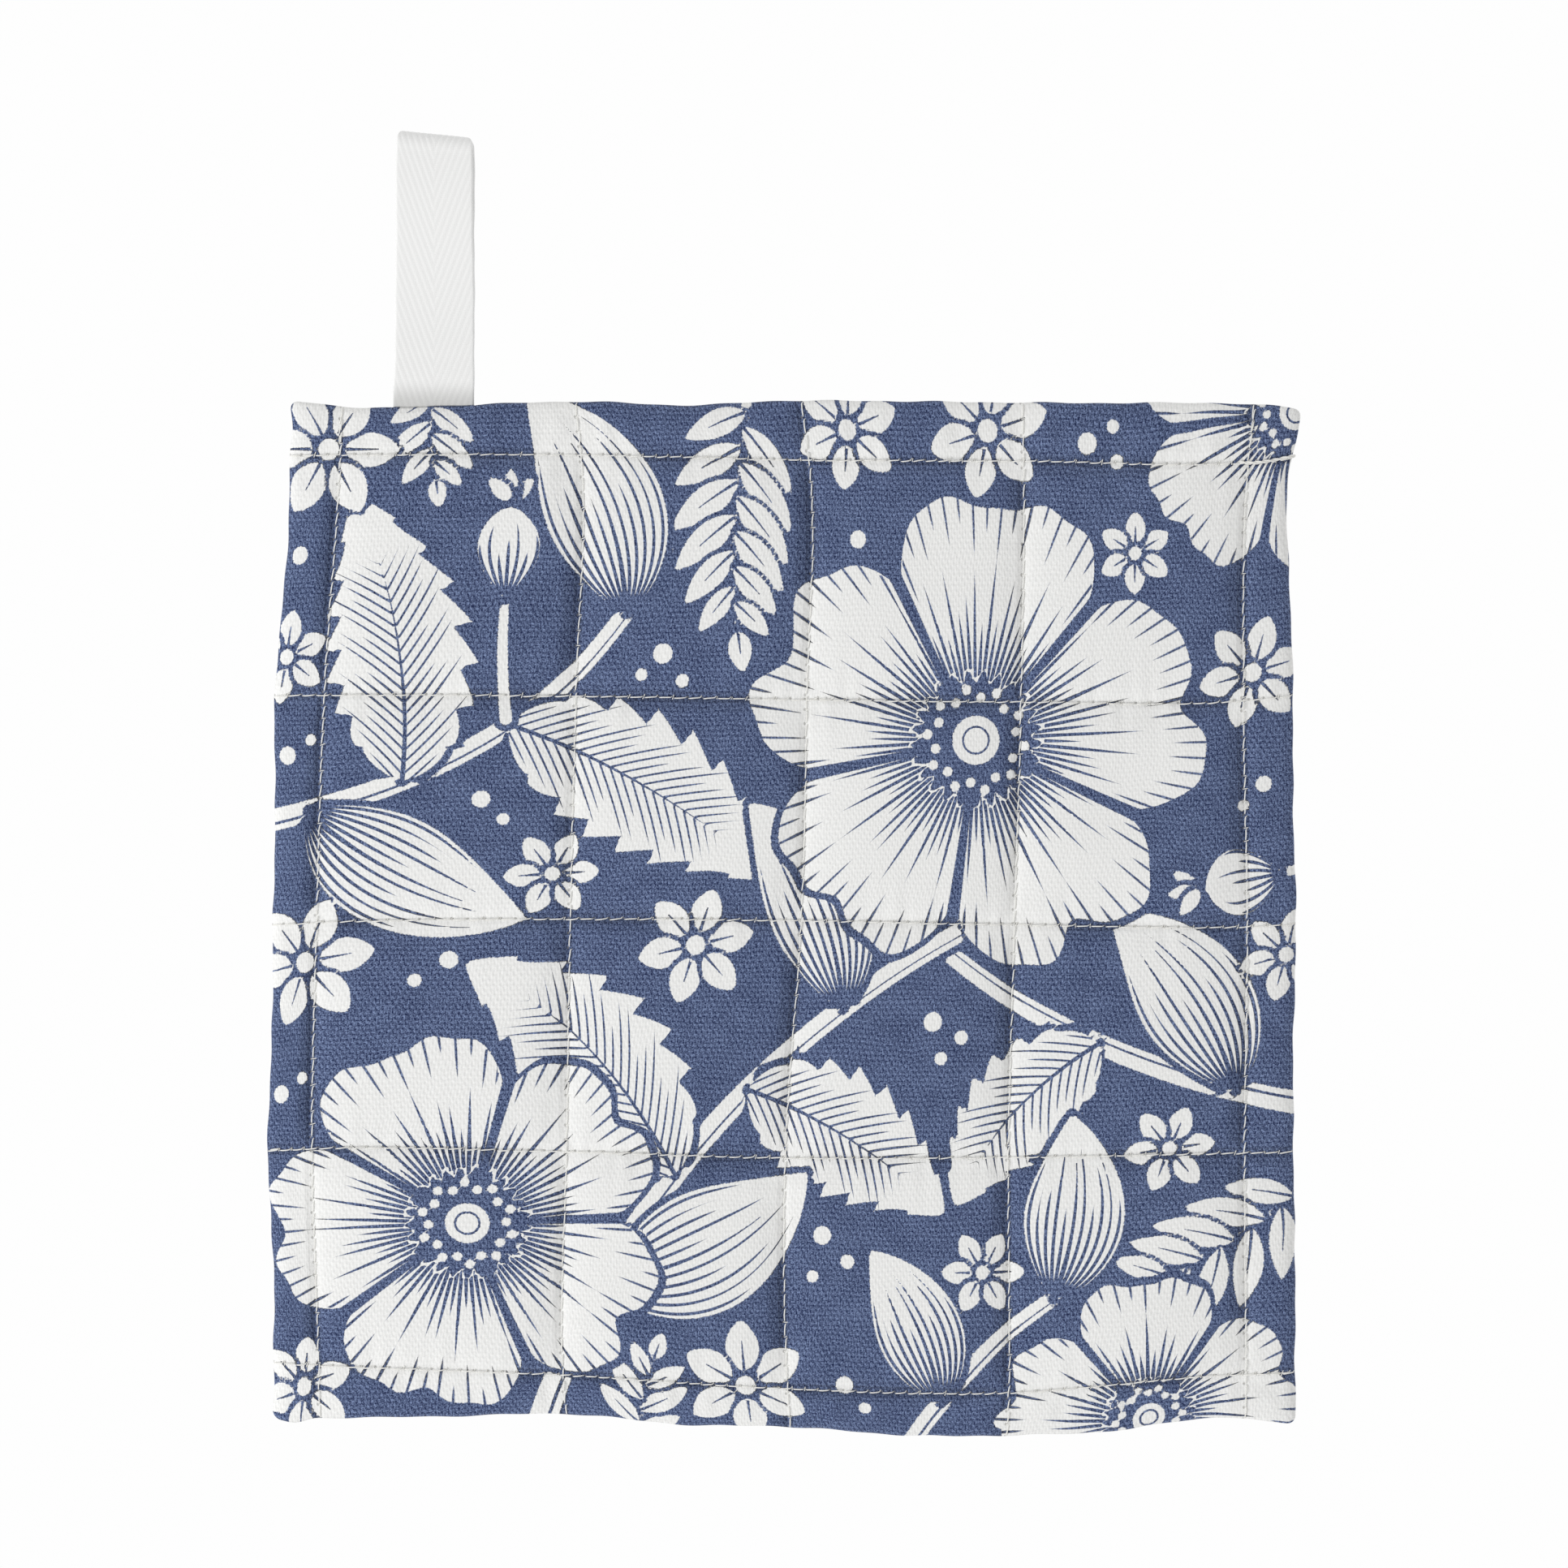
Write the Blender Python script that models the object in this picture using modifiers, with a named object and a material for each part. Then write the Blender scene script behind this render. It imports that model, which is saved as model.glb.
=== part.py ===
"""Square quilted pot holder with a hanging loop of twill tape, lying face up on a surface.

Sizes are in millimetres and become metres where a mesh is made. +Z is up, +Y runs from the
pad towards the loop, and the origin lies on the surface under the middle of the whole outline.
The pad is described on its flat cloth: a runs across it and b along it, from -100 to 100.
"""

import bmesh
import bpy
import numpy as np

MM = 0.001

# The flat cloth, and where its two edges and five quilting seams lie on it each way
PAD_HALF = 100.0
SEAMS = np.array([-100.0, -90.0, -45.0, 0.0, 45.0, 90.0, 100.0])
PAD_CENTRE = (0.0, -25.9)  # the flat cloth's middle, from the origin
CORNER_RADIUS = 2.4

# The sewn pad is not quite square. Each row follows one lengthwise seam and says how far across
# the pad it lies where it meets the bottom edge, crosswise seams 1 to 5 and the top edge.
SEAM_ACROSS = {
    #             bottom  seam 1  seam 2  seam 3  seam 4  seam 5   top
    "left edge": (-100.0, -99.7, -100.8, -99.8, -99.4, -96.4, -96.4),
    "seam 1": (-90.8, -91.0, -92.3, -91.4, -89.9, -86.8, -86.5),
    "seam 2": (-42.6, -43.3, -42.6, -41.9, -40.8, -39.8, -41.0),
    "seam 3": (1.1, 0.5, 0.1, 3.2, 4.3, 4.7, 3.2),
    "seam 4": (43.4, 43.7, 43.6, 44.8, 46.1, 46.6, 46.4),
    "seam 5": (90.0, 90.0, 89.7, 90.2, 89.5, 90.5, 91.6),
    "right edge": (100.2, 100.1, 99.8, 100.3, 99.7, 99.4, 101.6),
}

# The same for each crosswise seam: how far along the pad it lies where it meets the left edge,
# lengthwise seams 1 to 5 and the right edge.
SEAM_ALONG = {
    #                left  seam 1  seam 2  seam 3  seam 4  seam 5  right
    "bottom edge": (-98.2, -98.0, -97.2, -99.7, -101.4, -98.0, -99.2),
    "seam 1": (-86.8, -87.3, -89.2, -91.9, -92.7, -89.1, -88.9),
    "seam 2": (-45.5, -45.0, -45.6, -46.8, -46.7, -45.9, -45.8),
    "seam 3": (-1.4, -0.9, -0.2, -0.5, -1.3, -1.7, -1.3),
    "seam 4": (43.4, 43.5, 43.3, 42.6, 42.2, 42.4, 43.4),
    "seam 5": (90.4, 90.4, 90.4, 89.4, 89.2, 88.9, 89.7),
    "top edge": (101.0, 99.9, 100.8, 101.0, 100.6, 100.2, 99.4),
}

# Heights above the surface
EDGE_SEAM_Z = 3.0  # where front and back cloth are sewn together round the outline
SEAM_FRONT_Z = 4.5  # front cloth, stitched down in a quilting seam
SEAM_BACK_Z = 0.9  # back cloth, drawn up in a quilting seam
FRONT_LOFT = 3.5  # rise of the front cloth from its seams to the middle of a square
BACK_LOFT = 1.6  # fall of the back cloth, which the surface stops
EDGE_ROLL = 8.0  # width over which the cloth rolls down to the outline
EDGE_DRAW = 0.5  # how far the wadding draws the outline in between two seams
LOFT_POWER = 2.4  # a higher power makes flatter squares with steeper shoulders
UNEVEN = 0.09  # share by which the loft differs over the pad
FULL_HALF_WIDTH = 22.5  # half the width of a quilted square; narrower strips rise less

# Steps of the pad's grid, as shares of a quilted square and of a border strip
SQUARE_STEPS = np.array([0.0, 0.05, 0.13, 0.27, 0.5, 0.73, 0.87, 0.95])
BORDER_STEPS = np.array([0.0, 0.12, 0.38, 0.7])

# The twill tape, doubled into a loop whose ends are sewn into the top edge seam
TAPE_WIDTH = 15.2
TAPE_THICK = 1.0
TAPE_ACROSS = -68.2  # the middle of the tape where it leaves the pad
TAPE_LEAN = 0.5  # how far the fold has moved to the right
TAPE_ROOT_ALONG = 100.2  # the pad's top edge there
TAPE_REACH = 52.3  # from that edge to the outside of the fold
TAPE_IN_SEAM = 3.0  # how far the two ends go into the pad
TAPE_SKEW = 0.0135  # the loop's left side is longer than its middle by this share
TAPE_SHIFT = 0.4  # how far the lower ply comes out to the right of the upper one
PLY_GAP = 0.3  # between the two plies where they lie together
FOLD_RADIUS = 2.9  # of the tape's middle line round the open fold
FALL_LENGTH = 10.0  # the tape comes down from the seam to the surface over this length
EYE_START = 12.0  # from here on the plies part towards the fold
SEAM_POCKET_GAP = 0.3  # clearance round the tape's ends in the pad
RUN_STEPS = 22
FOLD_STEPS = 10


def smooth_through(knots, values, at):
    """A smooth cubic curve through the values at the knots, with slopes from their neighbours."""
    knots = np.asarray(knots, float)
    values = np.asarray(values, float)
    slopes = np.gradient(values, knots)
    i = np.clip(np.searchsorted(knots, at, side="right") - 1, 0, len(knots) - 2)
    width = knots[i + 1] - knots[i]
    t = (at - knots[i]) / width
    rise = t * t * (3 - 2 * t)
    start = values[i] + width * slopes[i] * t * (1 - t) ** 2
    return start + rise * (values[i + 1] - values[i]) - width * slopes[i + 1] * t * t * (1 - t)


def ease(t):
    """From 0 to 1, level at both ends."""
    t = np.clip(t, 0.0, 1.0)
    return t * t * (3 - 2 * t)


def round_corners(a, b):
    """Draws the square cloth's corners in to quarter circles."""
    start = PAD_HALF - CORNER_RADIUS
    p = np.maximum(np.abs(a) - start, 0.0) / CORNER_RADIUS
    q = np.maximum(np.abs(b) - start, 0.0) / CORNER_RADIUS
    shrink = np.where((p > 0) & (q > 0), np.maximum(p, q) / np.maximum(np.hypot(p, q), 1e-9), 1.0)
    a_new = np.where(p > 0, np.sign(a) * (start + p * shrink * CORNER_RADIUS), a)
    b_new = np.where(q > 0, np.sign(b) * (start + q * shrink * CORNER_RADIUS), b)
    return a_new, b_new


def between_seams(at):
    """The number of the strip between two seams that a coordinate is in, and its share across."""
    i = np.clip(np.searchsorted(SEAMS, at, side="right") - 1, 0, len(SEAMS) - 2)
    return i, (at - SEAMS[i]) / (SEAMS[i + 1] - SEAMS[i])


def follow_seams(table, position, along):
    """Reads a seam table at a position between its rows and a place along them."""
    rows = np.array([smooth_through(SEAMS, row, along) for row in table.values()])
    i, share = between_seams(position)
    points = np.arange(rows.shape[1])
    return rows[i, points] * (1 - share) + rows[i + 1, points] * share


def draw_in(position, along):
    """How much the outline near |position| is pulled in, most between two seams."""
    share = between_seams(along)[1]
    near_edge = ease((np.abs(position) - SEAMS[-2]) / (PAD_HALF - SEAMS[-2]))
    return -np.sign(position) * EDGE_DRAW * near_edge * np.sin(np.pi * share) ** 2


def pad_plan(a, b):
    """Where a point of the flat cloth lies in the sewn pad, seen from above."""
    a, b = round_corners(a, b)
    x = follow_seams(SEAM_ACROSS, a, b) + draw_in(a, b)
    y = follow_seams(SEAM_ALONG, b, a) + draw_in(b, a)
    return x + PAD_CENTRE[0], y + PAD_CENTRE[1]


def strip_loft(at):
    """Pillow profile across each strip between two seams, lower where the strip is narrow."""
    i, share = between_seams(at)
    half_width = (SEAMS[i + 1] - SEAMS[i]) / 2
    inward = 1 - np.abs(2 * share - 1)
    pillow = (1 - (1 - inward) ** LOFT_POWER) ** (1 / LOFT_POWER)
    return pillow * np.sqrt(half_width / FULL_HALF_WIDTH)


def edge_roll(at):
    """From 0 at the outline to 1 where the cloth has rolled up to its full height."""
    inward = np.clip((PAD_HALF - np.abs(at)) / EDGE_ROLL, 0.0, 1.0)
    return np.sqrt(1 - (1 - inward) ** 2)


def front_height(a, b):
    """Height of the front cloth: low in the seams and crowned between them."""
    base = EDGE_SEAM_Z + (SEAM_FRONT_Z - EDGE_SEAM_Z) * edge_roll(a) * edge_roll(b)
    uneven = 1 + UNEVEN * np.sin(a / 31 + 0.6) * np.cos(b / 27 - 0.4)
    return base + FRONT_LOFT * strip_loft(a) * strip_loft(b) * uneven


def back_height(a, b):
    """Height of the back cloth: level where it meets the surface, and drawn up in the seams."""
    base = EDGE_SEAM_Z - (EDGE_SEAM_Z - SEAM_BACK_Z) * edge_roll(a) * edge_roll(b)
    return np.maximum(base - BACK_LOFT * strip_loft(a) * strip_loft(b), 0.0)


def grid_lines():
    """Places of the pad's grid lines on the flat cloth, closer together near the seams."""
    left = SEAMS[0] + BORDER_STEPS * (SEAMS[1] - SEAMS[0])
    squares = [s + SQUARE_STEPS * (e - s) for s, e in zip(SEAMS[1:-2], SEAMS[2:-1])]
    return np.concatenate([left, *squares, [SEAMS[-2]], -left[::-1]])


def add_cloth_face(mesh, lines, height):
    """Adds one face of the pad: a grid laid on the flat cloth and raised to a height."""
    steps = len(lines) - 1
    made = bmesh.ops.create_grid(mesh, x_segments=steps, y_segments=steps, size=1.0)["verts"]
    flat = np.array([v.co.xy for v in made])
    a = lines[np.rint((flat[:, 0] + 1) / 2 * steps).astype(int)]
    b = lines[np.rint((flat[:, 1] + 1) / 2 * steps).astype(int)]
    x, y = pad_plan(a, b)
    for vert, point in zip(made, np.column_stack([x, y, height(a, b)]) * MM):
        vert.co = point
    return made


def cloth_material(name, colour, roughness):
    """A plain cloth finish."""
    material = bpy.data.materials.new(name)
    material.use_nodes = True
    shader = material.node_tree.nodes["Principled BSDF"]
    shader.inputs["Base Color"].default_value = (*colour, 1.0)
    shader.inputs["Roughness"].default_value = roughness
    shader.inputs["Metallic"].default_value = 0.0
    return material


def add_object(name, data, collection, material=None):
    """A named object in a collection."""
    made = bpy.data.objects.new(name, data)
    collection.objects.link(made)
    if material is not None:
        data.materials.append(material)
    return made


def add_cut(target, cutter):
    """Cuts a target with a box that stays as a guide."""
    cut = target.modifiers.new(cutter.name, "BOOLEAN")
    cut.operation = "DIFFERENCE"
    cut.solver = "EXACT"
    cut.object = cutter
    cutter.hide_render = True
    cutter.display_type = "WIRE"


def build_pad(collection, material):
    """The filled, quilted pad: front and back cloth meet in the seam round its outline."""
    lines = grid_lines()
    mesh = bmesh.new()
    add_cloth_face(mesh, lines, front_height)
    back = add_cloth_face(mesh, lines, back_height)
    bmesh.ops.reverse_faces(mesh, faces=list({f for v in back for f in v.link_faces}))
    bmesh.ops.remove_doubles(mesh, verts=mesh.verts, dist=0.01 * MM)
    data = bpy.data.meshes.new("quilted_pad")
    mesh.to_mesh(data)
    mesh.free()
    data.shade_smooth()
    return add_object("quilted_pad", data, collection, material)


def build_seam_pocket(collection):
    """The pocket in the top edge seam that takes the tape's two ends."""
    width = TAPE_WIDTH + TAPE_SHIFT + 2 * SEAM_POCKET_GAP
    depth = 2 * (TAPE_IN_SEAM + SEAM_POCKET_GAP)
    height = 2 * TAPE_THICK + PLY_GAP + 2 * SEAM_POCKET_GAP
    mesh = bmesh.new()
    bmesh.ops.create_cube(mesh, size=1.0)
    bmesh.ops.scale(mesh, vec=np.array([width, depth, height]) * MM, verts=mesh.verts)
    data = bpy.data.meshes.new("seam_pocket")
    mesh.to_mesh(data)
    mesh.free()
    pocket = add_object("seam_pocket", data, collection)
    across = TAPE_ACROSS + TAPE_SHIFT / 2 + PAD_CENTRE[0]
    along = TAPE_ROOT_ALONG + PAD_CENTRE[1]
    pocket.location = np.array([across, along, EDGE_SEAM_Z]) * MM
    return pocket


def tape_line():
    """The tape's middle line seen from the side, as distance from the edge seam and height.

    It runs out on the surface, round the open fold and back to the seam above itself.
    """
    fold_from = TAPE_REACH - FOLD_RADIUS - TAPE_THICK / 2
    floor_z = TAPE_THICK / 2
    ply_pitch = TAPE_THICK + PLY_GAP
    out = np.linspace(-TAPE_IN_SEAM, fold_from, RUN_STEPS + 1)
    fall = 1 - ease(out / FALL_LENGTH)
    lower = floor_z + (EDGE_SEAM_Z - ply_pitch / 2 - floor_z) * fall
    parting = ease((out - EYE_START) / (fold_from - EYE_START))
    upper = lower + ply_pitch + (2 * FOLD_RADIUS - ply_pitch) * parting
    turn = np.linspace(0, np.pi, FOLD_STEPS + 1)[1:-1]
    fold_out = fold_from + FOLD_RADIUS * np.sin(turn)
    fold_up = floor_z + FOLD_RADIUS * (1 - np.cos(turn))
    return np.concatenate([out, fold_out, out[::-1]]), np.concatenate([lower, fold_up, upper[::-1]])


def build_loop(collection, material):
    """The hanging loop: a strip of tape along its middle line, given its thickness by Solidify."""
    out, up = tape_line()
    steps = len(out) - 1
    mesh = bmesh.new()
    made = bmesh.ops.create_grid(mesh, x_segments=2, y_segments=steps, size=1.0)["verts"]
    flat = np.array([v.co.xy for v in made])
    place = np.rint((flat[:, 1] + 1) / 2 * steps).astype(int)
    side = flat[:, 0]
    lower_share = 1 - ease((up[place] - TAPE_THICK / 2) / (2 * FOLD_RADIUS))
    shift = TAPE_SHIFT * lower_share * ease(out[place] / TAPE_REACH)
    middle = TAPE_ACROSS + TAPE_LEAN * out[place] / TAPE_REACH
    x = middle + side * TAPE_WIDTH / 2 + shift + PAD_CENTRE[0]
    y = TAPE_ROOT_ALONG + out[place] * (1 - TAPE_SKEW * side) + PAD_CENTRE[1]
    for vert, point in zip(made, np.column_stack([x, y, up[place]]) * MM):
        vert.co = point
    data = bpy.data.meshes.new("hanging_loop")
    mesh.to_mesh(data)
    mesh.free()
    data.shade_smooth()
    loop = add_object("hanging_loop", data, collection, material)
    wall = loop.modifiers.new("thickness", "SOLIDIFY")
    wall.thickness = TAPE_THICK * MM
    wall.offset = 0.0
    return loop


def main():
    """Builds the pot holder in a collection of its own."""
    for old in list(bpy.data.objects):
        bpy.data.objects.remove(old)
    holder = bpy.data.collections.new("pot_holder")
    cutters = bpy.data.collections.new("cutters")
    bpy.context.scene.collection.children.link(holder)
    bpy.context.scene.collection.children.link(cutters)
    canvas = cloth_material("printed_canvas", (0.10, 0.14, 0.25), 0.9)
    tape = cloth_material("twill_tape", (0.80, 0.80, 0.79), 0.85)
    pad = build_pad(holder, canvas)
    add_cut(pad, build_seam_pocket(cutters))
    build_loop(holder, tape)


main()
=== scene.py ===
"""The looks of a square quilted pot holder with a hanging loop of twill tape.

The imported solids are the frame. The pad and the loop get finer meshes in the same place, with
canvas, print, twill and thread, and the scene gets a pale floor, soft light from the left and a
camera that looks straight down. Sizes are in millimetres and become metres where a mesh is made.

The pad is described on its flat cloth: a runs across it and b along it, from -100 to 100. Sewing
turns the flat cloth's point (a, b) into a point of the crowned pad.
"""

import logging
import math
from dataclasses import dataclass, field
from enum import Enum
from typing import Any, Callable, Sequence

import bpy
import numpy as np
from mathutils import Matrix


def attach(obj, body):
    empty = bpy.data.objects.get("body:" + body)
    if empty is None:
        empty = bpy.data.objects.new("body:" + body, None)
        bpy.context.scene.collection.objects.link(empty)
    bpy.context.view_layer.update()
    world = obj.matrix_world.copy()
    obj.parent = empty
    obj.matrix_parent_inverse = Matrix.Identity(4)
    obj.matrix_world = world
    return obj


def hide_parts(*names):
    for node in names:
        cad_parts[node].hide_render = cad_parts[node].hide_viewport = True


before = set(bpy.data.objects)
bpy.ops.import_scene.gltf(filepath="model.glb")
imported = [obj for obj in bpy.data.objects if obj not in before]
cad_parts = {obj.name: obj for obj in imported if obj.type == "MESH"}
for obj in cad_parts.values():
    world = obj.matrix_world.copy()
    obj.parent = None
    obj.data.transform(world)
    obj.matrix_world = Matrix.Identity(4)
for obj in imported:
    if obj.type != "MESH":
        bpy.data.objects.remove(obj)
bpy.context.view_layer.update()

Array = np.ndarray
Point = tuple[float, float]
Colour = tuple[float, float, float]

MM = 0.001
TURN = 2 * math.pi
BODY = "root"
CLOTH_MAP = "cloth"
PRINT_WHITE = "print_white"
PRINT_LINES = "print_lines"

log = logging.getLogger("pot_holder")


def ease(share: Array) -> Array:
    """From 0 to 1, level at both ends."""
    share = np.clip(share, 0.0, 1.0)
    return share * share * (3.0 - 2.0 * share)


def smooth_through(knots: Array, values: Sequence[float], at: Array) -> Array:
    """A smooth cubic curve through the values at the knots.

    Args:
        knots: Where the values are, in rising order.
        values: One value for each knot.
        at: Where the curve is read.

    Returns:
        The curve's values, its slopes being those of the knots' neighbours.
    """
    values = np.asarray(values, float)
    slopes = np.gradient(values, knots)
    i = np.clip(np.searchsorted(knots, at, side="right") - 1, 0, len(knots) - 2)
    width = knots[i + 1] - knots[i]
    t = (at - knots[i]) / width
    rise = t * t * (3 - 2 * t)
    start = values[i] + width * slopes[i] * t * (1 - t) ** 2
    return start + rise * (values[i + 1] - values[i]) - width * slopes[i + 1] * t * t * (1 - t)


def waves(at: Array, lengths: Sequence[float], rng: np.random.Generator) -> Array:
    """An uneven ripple: a sum of sines, each with a phase of its own.

    Args:
        at: Where it is read.
        lengths: The sines' wavelengths.
        rng: The source of their phases.

    Returns:
        The ripple, of like size whatever the number of sines.
    """
    phases = rng.uniform(0.0, TURN, len(lengths))
    parts = [np.sin(TURN * at / length + phase) for length, phase in zip(lengths, phases)]
    return sum(parts) / math.sqrt(len(lengths))


def grid_faces(rows: int, columns: int, wrap: bool = False) -> Array:
    """Quads over a grid of points stored row by row.

    Args:
        rows: Rows of points.
        columns: Points in a row.
        wrap: Whether the last point of each row joins its first.

    Returns:
        Point numbers, four to a face, anticlockwise where columns run to the right and rows up.
    """
    row = np.arange(rows - 1)[:, None]
    column = np.arange(columns if wrap else columns - 1)[None, :]
    beside = (column + 1) % columns
    corners = (row * columns + column, row * columns + beside,
               (row + 1) * columns + beside, (row + 1) * columns + column)
    return np.stack([c.ravel() for c in corners], axis=1)


def make_mesh(name: str, points: Array, faces: Sequence[Array],
              finishes: Sequence[bpy.types.Material], flat: Array | None = None,
              fields: dict[str, Array] | None = None) -> bpy.types.Object:
    """A smooth mesh object at the origin.

    Args:
        name: The piece's name.
        points: Points in millimetres.
        faces: Arrays of point numbers, each with one face to a row.
        finishes: Its materials, of which the faces get the first.
        flat: For each point, its place on the flat cloth in millimetres, for the cloth's map.
        fields: Named vectors, one for each point.

    Returns:
        The object, linked to the scene.
    """
    mesh = bpy.data.meshes.new(name)
    corners = np.concatenate([f.ravel() for f in faces]).astype(np.int32)
    sizes = np.concatenate([np.full(len(f), f.shape[1]) for f in faces])
    starts = np.concatenate([[0], np.cumsum(sizes)[:-1]]).astype(np.int32)
    mesh.vertices.add(len(points))
    mesh.vertices.foreach_set("co", (points * MM).astype(np.float32).ravel())
    mesh.loops.add(len(corners))
    mesh.loops.foreach_set("vertex_index", corners)
    mesh.polygons.add(len(sizes))
    mesh.polygons.foreach_set("loop_start", starts)
    mesh.update(calc_edges=True)
    mesh.shade_smooth()
    if flat is not None:
        layer = mesh.uv_layers.new(name=CLOTH_MAP)
        layer.uv.foreach_set("vector", (flat[corners] * MM).astype(np.float32).ravel())
    for key, values in (fields or {}).items():
        attribute = mesh.attributes.new(key, "FLOAT_VECTOR", "POINT")
        attribute.data.foreach_set("vector", values.astype(np.float32).ravel())
    for finish in finishes:
        mesh.materials.append(finish)
    made = bpy.data.objects.new(name, mesh)
    bpy.context.scene.collection.objects.link(made)
    return made


def tubes(centres: Array, radii: Array, sides: int) -> tuple[Array, list[Array]]:
    """Round threads along many paths at once, closed at both ends.

    Args:
        centres: Paths' points, one row of points for each path.
        radii: The radius at each point of a path.
        sides: How many sides a thread has.

    Returns:
        The points, and the side faces and the two ends' faces.
    """
    count, steps = centres.shape[:2]
    along = np.gradient(centres, axis=1)
    along /= np.linalg.norm(along, axis=2, keepdims=True)
    side = np.cross(along, (0.0, 0.0, 1.0))
    side /= np.maximum(np.linalg.norm(side, axis=2, keepdims=True), 1e-9)
    up = np.cross(side, along)
    turn = TURN * np.arange(sides) / sides
    ring = np.cos(turn)[:, None] * side[:, :, None] + np.sin(turn)[:, None] * up[:, :, None]
    points = centres[:, :, None] + ring * radii[None, :, None, None]
    first = (np.arange(count) * steps * sides)[:, None]
    walls = (grid_faces(steps, sides, wrap=True).ravel()[None, :] + first).reshape(-1, 4)
    ends = np.arange(sides)[None, :] + first
    return points.reshape(-1, 3), [walls, ends[:, ::-1], ends + (steps - 1) * sides]


def by_math(operation: str, reflected: bool = False) -> Callable[..., "Number"]:
    """Makes a method of Number that adds a Math node.

    Args:
        operation: The node's operation.
        reflected: Whether the number comes after the other value.

    Returns:
        The method, which gives the node's result.
    """

    def method(number: "Number", *others: Any) -> "Number":
        """The Math node's result."""
        values = (*others, number) if reflected else (number, *others)
        return number.finish.math(operation, *values)

    return method


class Number:
    """A number in a material. Python's operators and the methods on it add nodes."""

    __add__ = __radd__ = by_math("ADD")
    __sub__ = by_math("SUBTRACT")
    __rsub__ = by_math("SUBTRACT", reflected=True)
    __mul__ = __rmul__ = by_math("MULTIPLY")
    __truediv__ = by_math("DIVIDE")
    __abs__ = by_math("ABSOLUTE")
    fraction = by_math("FRACT")
    sine = by_math("SINE")
    root = by_math("SQRT")
    larger = by_math("MAXIMUM")
    smaller = by_math("MINIMUM")

    def __init__(self, finish: "Finish", socket: bpy.types.NodeSocket) -> None:
        """Wraps an output socket of a finish's nodes."""
        self.finish = finish
        self.socket = socket

    def step(self, low: float, high: float) -> "Number":
        """A smooth step.

        Args:
            low: Where it leaves 0.
            high: Where it reaches 1.

        Returns:
            0 below low, 1 above high and a smooth rise between them.
        """
        settings = {"interpolation_type": "SMOOTHSTEP"}
        limits = {"Value": self, "From Min": low, "From Max": high}
        node = self.finish.node("ShaderNodeMapRange", settings, limits)
        return Number(self.finish, node.outputs["Result"])


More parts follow.
